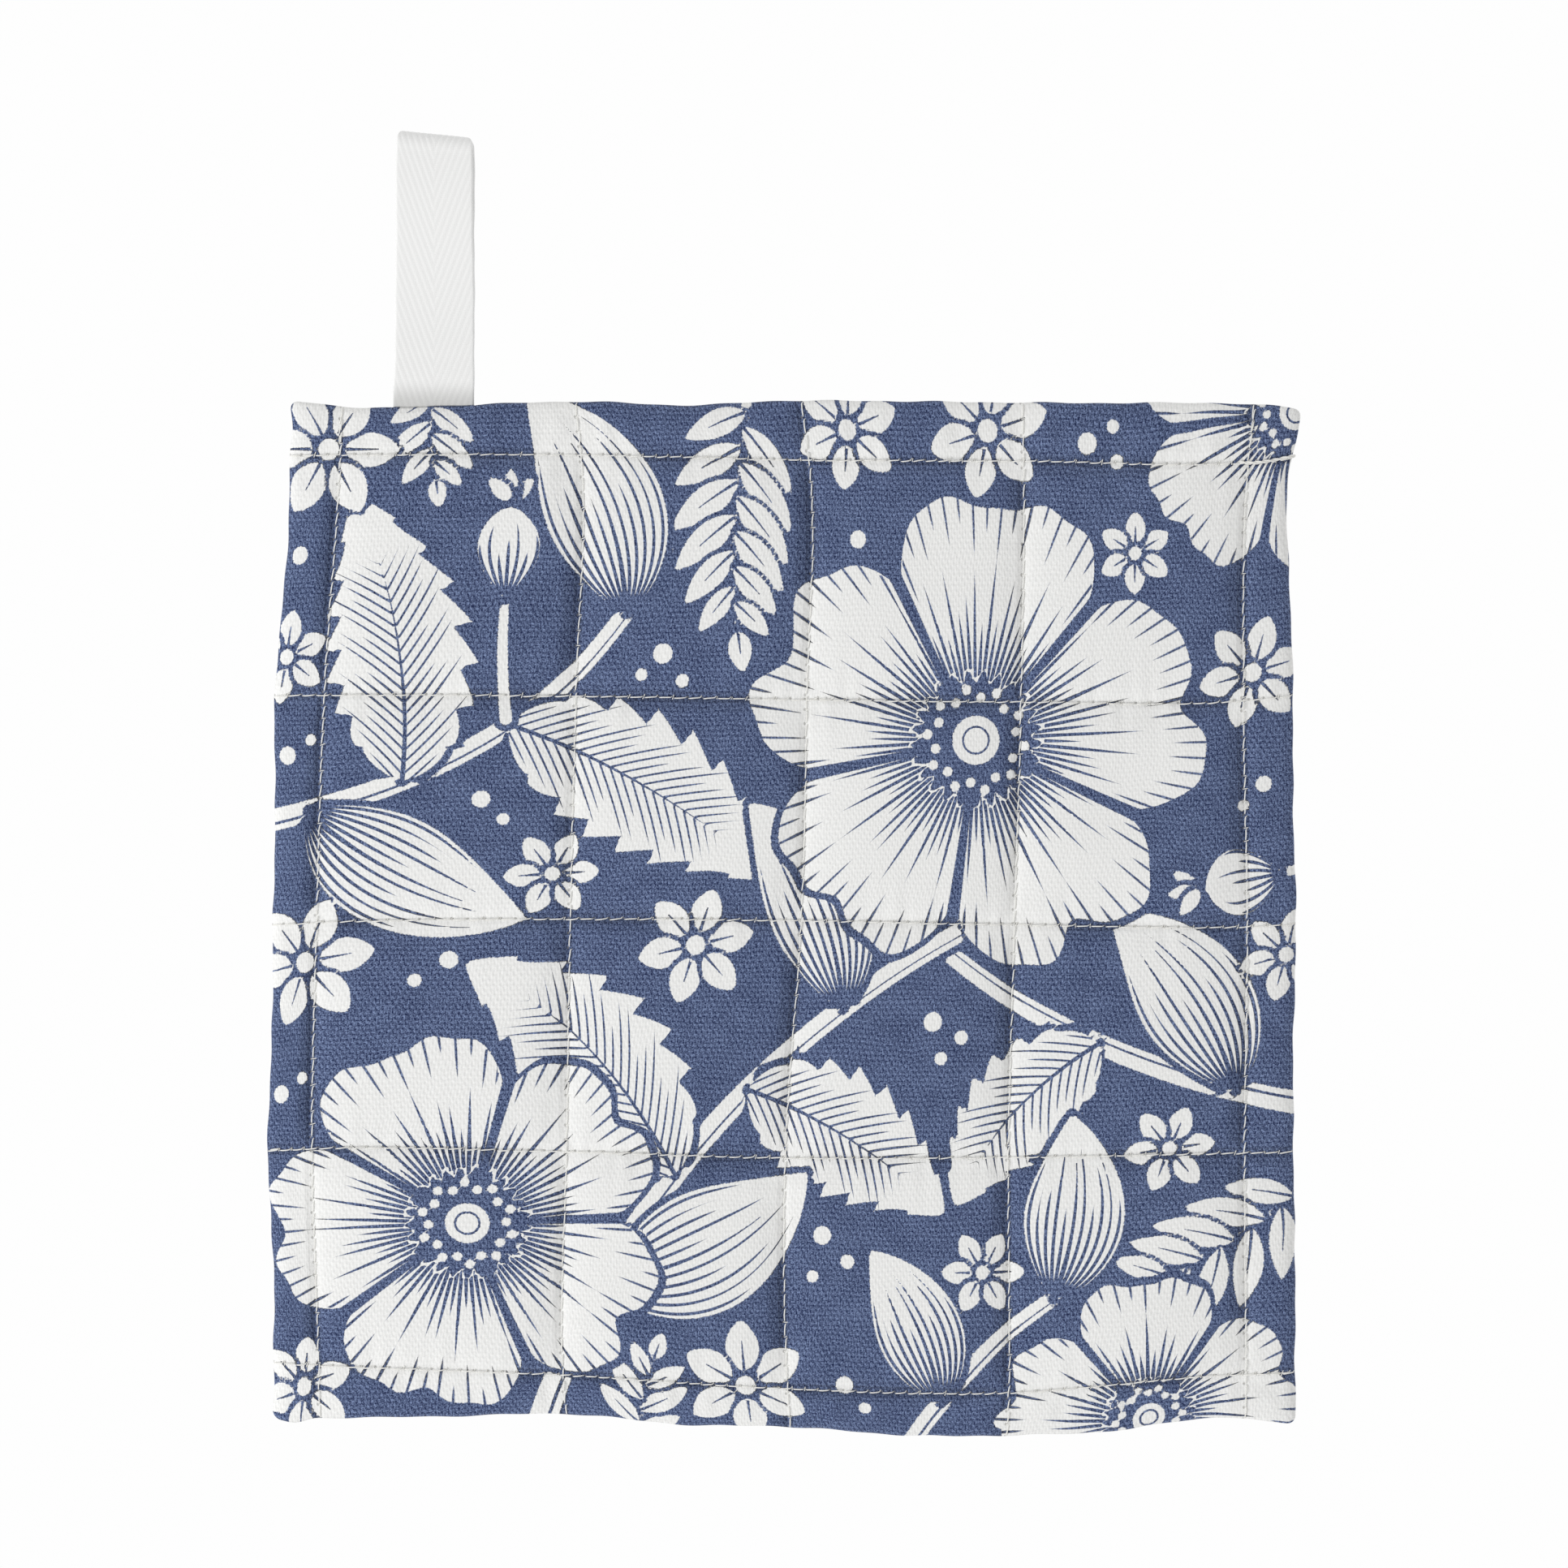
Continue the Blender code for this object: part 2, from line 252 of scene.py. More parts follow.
class Finish:
    """One material and its nodes."""

    SPECULAR = 0.2

    def __init__(self, name: str) -> None:
        """Starts from a plain Principled BSDF.

        Args:
            name: The material's name.
        """
        self.material = bpy.data.materials.new(name)
        self.material.use_nodes = True
        self.tree = self.material.node_tree
        self.shader = self.tree.nodes["Principled BSDF"]
        self.feed(self.shader.inputs["Specular IOR Level"], self.SPECULAR)

    def node(self, kind: str, settings: dict[str, Any], sockets: dict[Any, Any]) -> bpy.types.Node:
        """Adds a node.

        Args:
            kind: The node's type.
            settings: Its properties, which are set first.
            sockets: For each input, a value, a Number or an output socket.

        Returns:
            The node.
        """
        made = self.tree.nodes.new(kind)
        for key, value in settings.items():
            setattr(made, key, value)
        for key, value in sockets.items():
            self.feed(made.inputs[key], value)
        return made

    def feed(self, socket: bpy.types.NodeSocket, value: Any) -> None:
        """Sets an input to a plain value, or links it.

        Args:
            socket: The input.
            value: A plain value, a colour, a Number or an output socket.
        """
        if isinstance(value, Number):
            value = value.socket
        if isinstance(value, bpy.types.NodeSocket):
            self.tree.links.new(value, socket)
        elif isinstance(value, tuple) and len(value) == 3 and socket.type == "RGBA":
            socket.default_value = (*value, 1.0)
        else:
            socket.default_value = value

    def math(self, operation: str, *values: Any) -> Number:
        """The result of a Math node on the values."""
        node = self.node("ShaderNodeMath", {"operation": operation}, dict(enumerate(values)))
        return Number(self, node.outputs[0])

    def parts(self, vector: bpy.types.NodeSocket) -> tuple[Number, Number, Number]:
        """A vector's three numbers."""
        node = self.node("ShaderNodeSeparateXYZ", {}, {0: vector})
        return tuple(Number(self, output) for output in node.outputs)

    def cloth_mm(self) -> bpy.types.NodeSocket:
        """The place on the flat cloth, in millimetres."""
        return self.in_mm(self.node("ShaderNodeUVMap", {"uv_map": CLOTH_MAP}, {}).outputs[0])

    def in_mm(self, place: bpy.types.NodeSocket) -> bpy.types.NodeSocket:
        """A place in metres turned into millimetres."""
        settings = {"operation": "SCALE"}
        return self.node("ShaderNodeVectorMath", settings, {0: place, "Scale": 1.0 / MM}).outputs[0]

    def noise(self, place: bpy.types.NodeSocket, per_mm: Point, detail: float = 2.0) -> Number:
        """Smooth noise.

        Args:
            place: Where it is read, in millimetres.
            per_mm: About how many lumps there are to a millimetre each way.
            detail: How many finer layers are added.

        Returns:
            The noise, from 0 to 1.
        """
        stretched = self.node("ShaderNodeVectorMath", {"operation": "MULTIPLY"},
                              {0: place, 1: (per_mm[0], per_mm[1], 1.0)})
        node = self.node("ShaderNodeTexNoise", {"noise_dimensions": "2D"},
                         {"Vector": stretched.outputs[0], "Scale": 1.0, "Detail": detail})
        return Number(self, node.outputs["Fac"])

    def mixed(self, share: Any, a: Any, b: Any) -> bpy.types.NodeSocket:
        """Colour a turned into b by a share, in the Mix node's sockets for colours."""
        return self.node("ShaderNodeMix", {"data_type": "RGBA"}, {0: share, 6: a, 7: b}).outputs[2]

    def stored(self, name: str) -> tuple[Number, Number, Number]:
        """The three numbers of a vector that the mesh holds at its points."""
        node = self.node("ShaderNodeAttribute", {"attribute_name": name}, {})
        return self.parts(node.outputs["Vector"])

    def relief(self, height_mm: Number, strength: float = 1.0) -> bpy.types.NodeSocket:
        """The surface's direction for a small relief whose height is in millimetres."""
        return self.node("ShaderNodeBump", {}, {"Height": height_mm, "Distance": MM,
                                                "Strength": strength}).outputs[0]

    def surface(self, roughness: Any, sheen: float, **links: Any) -> bpy.types.Material:
        """Feeds the shader.

        Args:
            roughness: The roughness.
            sheen: The sheen's weight.
            links: What feeds other inputs, with _ for each space in their names.

        Returns:
            The material.
        """
        self.feed(self.shader.inputs["Roughness"], roughness)
        self.feed(self.shader.inputs["Sheen Weight"], sheen)
        for key, value in links.items():
            self.feed(self.shader.inputs[key.replace("_", " ")], value)
        return self.material


@dataclass(frozen=True)
class Stitch:
    """The stitches' length and where the first hole is, on the flat cloth.

    A seam has 70 stitches, and one next to the outline has 77.
    """

    first: float = -100.0
    length: float = 200.0 / 70
    outer_length: float = 200.0 / 77
    outer_from: float = 67.5

    def length_on(self, seam: float) -> float:
        """The stitch length on a seam: shorter on those next to the outline."""
        return self.outer_length if abs(seam) > self.outer_from else self.length


@dataclass(frozen=True)
class CanvasFinish:
    """Cotton canvas in plain weave, bare or printed.

    The weave is a signal whose mean is 0 and whose usual size is 1. With u and v the angles that
    go once round for each pair of warp and weft threads, it is a wave of u + v where threads
    cross, a weaker one of u - v, one of 2 v for the weft's rows and one of 2 u for the warp's
    columns. Noise stands for slubs and loose fibres.
    """

    printed: bool
    stitch: Stitch = Stitch()
    warp_pair: float = 1.19
    weft_pair: float = 1.96
    seam_spacing: float = 45.0

    bare: Colour = (0.845, 0.845, 0.833)
    bare_contrast: float = 0.105
    # painted light: the bare cloth is made lighter in the seams' hollows, against the shade there
    painted_light: Colour = (0.93, 0.93, 0.92)
    painted_light_share: float = 0.4
    ink_valley: Colour = (0.002, 0.009, 0.055)
    ink_crest: Colour = (0.228, 0.298, 0.495)
    ink_mottle: float = 0.20
    # painted light: the ink is made lighter in the seams' hollows
    ink_painted_light: float = 0.08
    hole_colour: Colour = (0.27, 0.26, 0.235)
    hole_share: float = 0.5

    # each part's strength on bare canvas, and what full ink adds to it
    crossings: Point = (0.96, -0.34)
    rows: Point = (0.66, -0.12)
    columns: Point = (0.92, -0.43)
    fibres: Point = (6.4, 3.0)
    counter_crossings: float = 0.19
    slubs: float = 2.8
    drift: float = 1.3
    woven_share: float = 0.17

    # from which distance to which a needle hole, a seam's crease and its hollow fade
    hole_fade: Point = (0.10, 0.32)
    hole_squash: float = 0.8
    crease_fade: Point = (0.0, 1.1)
    hollow_fade: Point = (0.2, 3.4)

    # relief in millimetres, the hollows' one as on bare canvas and what full ink adds
    woven_relief: float = 0.013
    fibre_relief: float = 0.004
    hole_relief: float = 0.1
    ink_crease_relief: float = 0.5
    hollow_relief: Point = (-0.18, 0.93)

    # lumps of noise to a millimetre, across the cloth and along it
    WARP_DRIFT = (0.05, 0.16)
    WEFT_DRIFT = (0.13, 0.06)
    SLUB_GRAIN = (1.5, 1.9)
    FIBRE_GRAIN = (4.3, 3.7)
    EDGE_GRAIN = (2.2, 2.6)
    MOTTLE_GRAIN = (0.16, 0.22)

    def seam_marks(self, finish: Finish,
                   place: bpy.types.NodeSocket) -> tuple[Number, Number, Number]:
        """Marks along the seams, on whole multiples of their spacing and of the stitch length.

        Args:
            finish: The material.
            place: The place on the flat cloth.

        Returns:
            Where the needle holes, the seams' narrow creases and their hollows are.
        """
        a, b, _ = finish.parts(place)

        def off(value: Number, spacing: float) -> Number:
            """The distance from the nearest whole multiple of the spacing."""
            return abs((value / spacing + 0.5).fraction() - 0.5) * spacing

        holes, creases, hollows = [], [], []
        for across, along in ((a, b), (b, a)):
            to_seam = off(across, self.seam_spacing)
            outer = abs(across).step(self.stitch.outer_from - 1.0, self.stitch.outer_from)
            from_first = along - self.stitch.first
            inner_hole = off(from_first, self.stitch.length)
            outer_hole = off(from_first, self.stitch.outer_length)
            to_hole = (inner_hole + (outer_hole - inner_hole) * outer) * self.hole_squash
            from_hole = (to_seam * to_seam + to_hole * to_hole).root()
            holes.append(1.0 - from_hole.step(*self.hole_fade))
            creases.append(1.0 - to_seam.step(*self.crease_fade))
            hollows.append(1.0 - to_seam.step(*self.hollow_fade))
        return tuple(pair[0].larger(pair[1]) for pair in (holes, creases, hollows))

    def weave(self, finish: Finish, place: bpy.types.NodeSocket,
              ink: Any) -> tuple[Number, Number]:
        """The weave, which drifts a little and is weaker under ink.

        Args:
            finish: The material.
            place: The place on the flat cloth.
            ink: Where the ink is.

        Returns:
            The woven signal, and loose fibres.
        """
        def grain(per_mm: Point) -> Number:
            """Noise whose mean is 0."""
            return finish.noise(place, per_mm, 1.0) - 0.5

        def strength(of_part: Point) -> Any:
            """A part's strength where there is so much ink."""
            return ink * of_part[1] + of_part[0]

        a, b, _ = finish.parts(place)
        u = (a + finish.noise(place, self.WARP_DRIFT, 1.0) * self.drift) * (TURN / self.warp_pair)
        v = (b + finish.noise(place, self.WEFT_DRIFT, 1.0) * self.drift) * (TURN / self.weft_pair)
        crossings = (u + v).sine() * strength(self.crossings)
        crossings = crossings + (u - v).sine() * self.counter_crossings
        rows = (v * 2.0 + 0.9).sine() * strength(self.rows)
        columns = (u * 2.0 + 0.4).sine() * strength(self.columns)
        slubs = grain(self.SLUB_GRAIN) * self.slubs
        return crossings + rows + columns + slubs, grain(self.FIBRE_GRAIN) * strength(self.fibres)

    def ink_share(self, finish: Finish, rough: Number) -> Number:
        """The printed ink, whose edges wander by up to a quarter of a millimetre.

        Args:
            finish: The material.
            rough: Noise for the edges, from 0 to 1.

        Returns:
            1 outside the white areas and on the lines drawn in them.
        """
        edge, cut, cut_half = finish.stored(PRINT_WHITE)
        ray, ray_half, _ = finish.stored(PRINT_LINES)
        wobble = (rough - 0.5) * 0.5
        white = (edge + wobble).step(-0.10, 0.10)
        off = abs(ray.fraction() - 0.5)
        engraved = (ray_half + wobble * 0.1 - off).step(0.0, 0.08)
        drawn = (cut_half + wobble * 0.5 - abs(cut)).step(-0.02, 0.14)
        return 1.0 - white * (1.0 - engraved.larger(drawn))

    def build(self) -> bpy.types.Material:
        """The canvas, its bare cloth and its ink painted lighter in the seams' hollows, against the
        shade there.

        Returns:
            The material.
        """
        finish = Finish("printed_canvas" if self.printed else "plain_canvas")
        place = finish.cloth_mm()
        rough = finish.noise(place, self.EDGE_GRAIN)
        ink = self.ink_share(finish, rough) if self.printed else 0.0
        woven, fibres = self.weave(finish, place, ink)
        holes, creases, hollows = self.seam_marks(finish, place)
        # The colour follows the weave's signal, as the relief does: darker in its valleys and
        # lighter on its crests, painted shade and light of the weave along with its own uneven
        # tone.
        share = (woven + fibres) * self.woven_share + 0.5
        low, high = (tuple(c * (1 + side * self.bare_contrast) for c in self.bare)
                     for side in (-1, 1))
        colour = finish.mixed(share, low, high)
        # painted light: bare cloth mixed lighter in the seams' hollows
        colour = finish.mixed(hollows * (1.0 - ink) * self.painted_light_share, colour, self.painted_light)
        if self.printed:
            mottle = finish.noise(place, self.MOTTLE_GRAIN, 1.0) - 0.5
            mottled = share + mottle * self.ink_mottle
            # painted light: the ink's flecks are lighter in the seams' hollows
            flecks = mottled * (mottled * 0.5 + 0.5) * (1.0 + hollows * self.ink_painted_light)
            inked = finish.mixed(flecks, self.ink_valley, self.ink_crest)
            colour = finish.mixed(ink, colour, inked)
        colour = finish.mixed(holes * self.hole_share, colour, self.hole_colour)
        of_hollow, ink_adds = self.hollow_relief
        drawn_in = creases * ink * self.ink_crease_relief + hollows * (ink * ink_adds + of_hollow)
        height = woven * self.woven_relief + fibres * self.fibre_relief
        height = height - holes * self.hole_relief - drawn_in
        return finish.surface(0.9, 0.05, Base_Color=colour, Normal=finish.relief(height))


@dataclass(frozen=True)
class TwillFinish:
    """White cotton tape: the ribs are in the mesh, and the threads that cross them are relief.

    The tape's colour is painted lighter near the edge seam, against the shade of its drop, and
    round its fold, as light on its crown, and painted darker right at the seam, as the shade where
    it goes in. Its map has the width, from minus half to half, and the length.
    """

    length: float
    in_seam: float
    rib: float
    steepness: float
    pale: Colour = (0.895, 0.895, 0.888)
    deep: Colour = (0.825, 0.825, 0.818)
    # painted light, near the edge seam and round the fold
    painted_light: Colour = (0.955, 0.955, 0.948)
    # painted shade where the tape goes into the seam
    painted_seam_shade: Colour = (0.64, 0.64, 0.63)
    thread: float = 0.42
    thread_slant: float = 0.15

    # from which distance to which the painted light and the painted shade at the seam fade
    painted_light_from_seam: Point = (4.5, 12.5)
    painted_light_from_fold: Point = (3.0, 5.6)
    painted_shade_from_seam: Point = (0.0, 5.0)

    # lumps of noise to a millimetre, across the tape and along it
    FIBRE_GRAIN = (3.0, 2.0)
    LONG_GRAIN = (4.5, 0.6)

    def build(self) -> bpy.types.Material:
        """The tape, whose grooves between the ribs are painted darker as shade and whose loose
        fibres are a little darker in tone.

        Returns:
            The material.
        """
        finish = Finish("herringbone_twill")
        place = finish.cloth_mm()
        across, along, _ = finish.parts(place)
        rib = (abs(across) + along / self.steepness) / self.rib
        beads = ((along + across * self.thread_slant) * (TURN / self.thread)).sine() * 0.5 + 0.5
        fibre = finish.noise(place, self.FIBRE_GRAIN)
        long_fibre = finish.noise(place, self.LONG_GRAIN, 1.0)
        # painted shade: the grooves between the ribs are darker
        groove_shade = (abs(rib.fraction() - 0.5) * 2.0).step(0.55, 1.0)
        shade = groove_shade * 0.30 + (1.0 - fibre) * 0.30 + long_fibre * 0.15
        from_seam = along.smaller(self.length - along) - self.in_seam
        from_fold = abs(along - 0.5 * self.length)
        near_seam = 1.0 - from_seam.step(*self.painted_light_from_seam)
        near_fold = 1.0 - from_fold.step(*self.painted_light_from_fold)
        # painted light: lighter near the edge seam, against the shade of the tape's drop, and round
        # the fold
        light = finish.mixed(near_seam.larger(near_fold), self.pale, self.painted_light)
        colour = finish.mixed(shade, light, self.deep)
        # painted shade over the first 5 mm out of the seam
        painted_seam_shade = 1.0 - from_seam.step(*self.painted_shade_from_seam)
        colour = finish.mixed(painted_seam_shade, colour, self.painted_seam_shade)
        height = beads * 0.02 + fibre * 0.03 + long_fibre * 0.02
        return finish.surface(0.85, 0.05, Base_Color=colour, Normal=finish.relief(height, 0.7))


@dataclass(frozen=True)
class ThreadFinish:
    """Cream sewing thread, in two twisted plies."""

    pale: Colour = (0.905, 0.90, 0.868)
    deep: Colour = (0.80, 0.79, 0.75)
    ply_pitch: float = 0.4
    ply_relief: float = 0.02

    FUZZ_GRAIN = (1.5, 1.5)

    def build(self) -> bpy.types.Material:
        """The thread, whose twist follows the object's own coordinates.

        Returns:
            The material.
        """
        finish = Finish("sewing_thread")
        metres = finish.node("ShaderNodeTexCoord", {}, {}).outputs["Object"]
        x, y, z = finish.parts(metres)
        twist = ((x + y + z * 2.0) * (TURN / (self.ply_pitch * MM))).sine() * 0.5 + 0.5
        fuzz = finish.noise(finish.in_mm(metres), self.FUZZ_GRAIN)
        # painted shade: darker where the twisted plies dip between each other; the fuzz is the
        # thread's own uneven tone
        colour = finish.mixed((1.0 - twist) * 0.35 + fuzz * 0.3, self.pale, self.deep)
        relief = finish.relief(twist * self.ply_relief)
        return finish.surface(0.6, 0.1, Base_Color=colour, Normal=relief)


@dataclass(frozen=True)
class FloorFinish:
    """A floor that glows evenly, as a light table does, so that nothing casts a shadow on it."""

    colour: Colour = (0.0, 0.0, 0.0)
    light: Colour = (1.0, 1.0, 1.0)
    glow: float = 0.99

    def build(self) -> bpy.types.Material:
        """The floor, which is black but for its glow.

        Returns:
            The material.
        """
        finish = Finish("pale_floor")
        finish.feed(finish.shader.inputs["Emission Strength"], self.glow)
        finish.feed(finish.shader.inputs["Specular IOR Level"], 0.0)
        return finish.surface(1.0, 0.0, Base_Color=self.colour, Emission_Color=self.light)


def frame_at(x: Array, y: Array, at: Point, turn: float, bend: float) -> tuple[Array, Array]:
    """Distances along and across an axis that starts at a point.

    Args:
        x: Places on the cloth.
        y: Places on the cloth.
        at: Where the axis starts.
        turn: Its heading in degrees from +X.
        bend: One over the radius of the arc that it follows, to its left where positive.

    Returns:
        The distance along, which is the arc's radius times the angle round its centre, and the
        distance across, which is what the radius leaves.
    """
    cos, sin = math.cos(math.radians(turn)), math.sin(math.radians(turn))
    dx, dy = x - at[0], y - at[1]
    along = dx * cos + dy * sin
    across = dy * cos - dx * sin
    if bend == 0.0:
        return along, across
    radius, side = 1.0 / abs(bend), math.copysign(1.0, bend)
    from_centre = radius - side * across
    return radius * np.arctan2(along, from_centre), side * (radius - np.hypot(along, from_centre))


def point_on(at: Point, turn: float, bend: float, along: float) -> tuple[Point, float]:
    """A point of an axis that starts at a point.

    Args:
        at: Where the axis starts.
        turn: Its heading in degrees from +X.
        bend: One over the radius of the arc that it follows.
        along: The distance along it.

    Returns:
        The point at that distance, and the heading there in degrees.
    """
    start = math.radians(turn)
    if bend == 0.0:
        return (at[0] + along * math.cos(start), at[1] + along * math.sin(start)), turn
    there = start + along * bend
    x = at[0] + (math.sin(there) - math.sin(start)) / bend
    y = at[1] - (math.cos(there) - math.cos(start)) / bend
    return (x, y), math.degrees(there)


class Leaf(Enum):
    """Kinds of leaf in the print."""

    TOOTHED = "toothed edge and slanting veins"
    SMOOTH = "smooth edge and lengthwise ribs"


@dataclass
class Print:
    """A generic flowered print as smooth fields over the flat cloth, in millimetres.

    edge is the distance inside the white areas. ray and ray_half place engraved lines: a line
    runs where the ray's fraction is within ray_half of a half. cut and cut_half are the distance
    from a single drawn line and half its width. The material turns the fields into ink. bare,
    no_line and no_cut are what they hold where nothing is drawn.
    """

    x: Array
    y: Array
    bare: float = -12.0
    no_line: float = -1.0
    no_cut: float = 9.0
    thinnest: float = 0.13
    tooth_depth: float = 0.27
    edge: Array = field(init=False)
    ray: Array = field(init=False)
    ray_half: Array = field(init=False)
    cut: Array = field(init=False)
    cut_half: Array = field(init=False)

    # name: (start, heading, bend, length, half width)
    STEMS = {
        "right": ((104, -36), 170, -0.0056, 96, 2.3),
        "rising": ((-50, -104), 74, -0.0060, 148, 2.6),
        "left": ((-104, 20), 6, 0.0105, 96, 2.2),
        "low": ((24, -104), 62, -0.012, 50, 2.0),
    }
    # stem, distance along it, angle off it, length, half width, bend, kind
    LEAVES = (
        ("left", 12, -58, 46, 11.0, 0.012, Leaf.SMOOTH),
        ("left", 30, 62, 56, 14.0, 0.010, Leaf.TOOTHED),
        ("left", 52, -58, 60, 15.0, -0.006, Leaf.TOOTHED),
        ("left", 82, 40, 46, 11.5, 0.014, Leaf.SMOOTH),
        ("rising", 62, 66, 58, 15.0, 0.010, Leaf.TOOTHED),
        ("rising", 84, -62, 47, 13.0, -0.010, Leaf.TOOTHED),
        ("rising", 108, 62, 46, 10.5, 0.014, Leaf.SMOOTH),
        ("rising", 36, -52, 48, 12.0, 0.014, Leaf.SMOOTH),
        ("right", 16, -60, 44, 11.0, 0.016, Leaf.SMOOTH),
        ("right", 44, 56, 42, 11.5, 0.014, Leaf.TOOTHED),
        ("low", 14, 48, 33, 8.5, 0.016, Leaf.SMOOTH),
        ("low", 44, 36, 36, 9.5, 0.016, Leaf.SMOOTH),
    )
    LEAF_STYLES = {
        Leaf.TOOTHED: {"teeth": 8, "veins": 2.4},
        Leaf.SMOOTH: {"belly": 0.85, "fullness": 0.85, "ribs": 5.5, "midrib": 0.5},
    }
    # middle, radius, turn, lines in half a petal
    BLOSSOMS = (
        ((36, 37), 47, 12, 9),
        ((-62, -60), 38, 40, 8),
        ((99, 99), 32, 8, 6),
        ((72, -98), 29, 20, 6),
    )
    # middle, radius, turn
    STARS = (
        ((-92, -8), 12.5, 10),
        ((9, 95), 10.5, 20),
        ((-92, 91), 13, 0),
        ((-8, -90), 12.5, 33),
        ((92, 50), 10.5, 12),
        ((-48, 9), 8.5, 4),
        ((-98, 52), 8.5, 25),
        ((76, -44), 8.5, 8),
        ((38, 95), 12, 16),
        ((-93, -94), 9.5, 22),
        ((-20, -5), 11, 14),
        ((98, -6), 9, 15),
        ((68, 73), 7.5, 30),
        ((40, -67), 8, 0),
    )
    # start, heading, length, half width, stalk, bend
    PODS = (
        ((-57, 40), 97, 17, 5.6, 24, -0.006),
        ((104, 11), 184, 15, 6.6, 8, 0.014),
    )
    # start, heading, length, bend, pairs of leaflets, leaflet length
    FRONDS = (
        ((-9, 104), 248, 46, 0.012, 6, 12.5),
        ((104, -50), 226, 42, -0.012, 5, 12.5),
        ((-72, 105), 264, 19, 0.012, 3, 8.5),
        ((-31, -106), 84, 20, -0.012, 3, 9.0),
    )
    # middle, radius
    DOTS = (
        ((29, -19), 1.9), ((35, -22), 1.4), ((31, -26), 1.3),
        ((8, -60), 1.8), ((13, -65), 1.4), ((6, -68), 1.2),
        ((10, 75), 1.7), ((58, 93), 1.9), ((64, 90), 1.4), ((63, 96), 1.2),
        ((-97, -34), 1.8), ((-92, -31), 1.3), ((94, 28), 1.6), ((90, 24), 1.2),
        ((-66, -8), 1.7), ((-72, -12), 1.3), ((12, -89), 1.8), ((16, -94), 1.3),
        ((-28, 53), 1.9), ((-24, 48), 1.3), ((-32, 49), 1.2), ((-61, 24), 1.7), ((-57, 20), 1.2),
        ((-97, 71), 1.7), ((-97, 33), 1.8), ((-92, 36), 1.2),
    )

    def __post_init__(self) -> None:
        """Starts as bare ground, with no line anywhere."""
        self.edge = np.full_like(self.x, self.bare)
        self.ray = np.zeros_like(self.x)
        self.ray_half = np.full_like(self.x, self.no_line)
        self.cut = np.full_like(self.x, self.no_cut)
        self.cut_half = np.full_like(self.x, self.no_line)

    def lay(self, inside: Array, gap: float, ray: Any = 0.0, ray_half: Any = no_line,
            cut: Any = no_cut, cut_half: Any = no_line) -> None:
        """Lays a motif over what is there.

        Args:
            inside: The distance inside the motif's outline.
            gap: The width of bare ground kept round it.
            ray: The motif's own engraving.
            ray_half: Its lines' half width, in shares of their spacing.
            cut: The distance from its drawn line.
            cut_half: That line's half width.
        """
        self.edge = np.maximum(np.minimum(self.edge, -(inside + gap)), inside)
        own = inside > -0.5 * gap
        self.ray = np.where(own, ray, self.ray)
        self.ray_half = np.where(own, ray_half, self.ray_half)
        self.cut = np.where(own, cut, self.cut)
        drawn = np.where(cut_half > self.thinnest, cut_half, self.no_line)
        self.cut_half = np.where(own, drawn, self.cut_half)

    def tapering(self, share: Array, start: float = 0.40, loss: float = 0.46,
                 power: int = 5) -> Array:
        """Half the width of an engraved line that thins to nothing: start - loss share^power."""
        return start - loss * share ** power

    def blade(self, at: Point, turn: float, length: float, half_width: float, bend: float = 0.0,
              belly: float = 0.8, fullness: float = 0.8, teeth: int = 0, ribs: float = 0.0,
              veins: float = 0.0, midrib: float = 0.4, gap: float = 1.3) -> None:
        """A leaf, leaflet or narrow petal on a bent axis.

        Its half width is half_width times the fullness power of sin(pi t^belly), t being 0 at
        the base and 1 at the tip, and each tooth rises to that width and drops back. Ribs share
        out the width and fade towards the tip. Veins slant off the midrib. Both end unevenly, by
        a sine of the line's number.

        Args:
            at: The base.
            turn: The heading at the base, in degrees.
            length: The length along the axis.
            half_width: Half the greatest width.
            bend: One over the axis's radius.
            belly: Below 1 the widest place is nearer the base.
            fullness: Below 1 the ends are blunter.
            teeth: How many teeth the edge has.
            ribs: How many ribs lie between the midrib and the edge.
            veins: The distance between veins.
            midrib: Half the midrib's width at the base.
            gap: The bare ground kept round the leaf.
        """
        along, across = frame_at(self.x, self.y, at, turn, bend)

        def half(distance: Array) -> Array:
            """Half the leaf's width.

            Args:
                distance: The distance from the base.

            Returns:
                Half the width there.
            """
            t = np.clip(distance / length, 0.0, 1.0)
            body = half_width * np.maximum(np.sin(np.pi * t ** belly), 0.0) ** fullness
            tooth = np.floor(teeth * t) + 1.0 - teeth * t
            bite = self.tooth_depth * (1.0 - tooth) if teeth else 0.0
            return body * (1.0 - bite * ease(4 * t) * ease(5 - 5 * t))

        width = half(along)
        slope = np.clip((half(along + 0.3) - half(along - 0.3)) / 0.6, -2.5, 2.5)
        beyond = along - np.clip(along, 0.0, length)
        inside = (width - np.abs(across)) / np.sqrt(1.0 + slope ** 2)
        inside = np.where(beyond != 0.0, -np.hypot(beyond, across), inside)
        t = np.clip(along / length, 0.0, 1.0)
        ray, ray_half = 0.0, self.no_line
        if ribs:
            spread = np.maximum(width, 0.25 * half_width)
            ray = across / spread * ribs + 0.5
            reach = 0.70 + 0.18 * np.sin(2.3 * np.floor(ray) + 5.0 * t)
            ray_half = ribs / spread * self.tapering(t / reach)
        if veins:
            ray = (along - 1.1 * np.abs(across)) / veins
            reach = half_width * (0.66 + 0.2 * np.sin(1.9 * np.floor(ray)))
            ray_half = self.tapering(np.abs(across) / reach) / veins * ease(5 - 6 * t)
        self.lay(inside, gap, ray, ray_half, across, midrib * (1.3 - 1.4 * t))

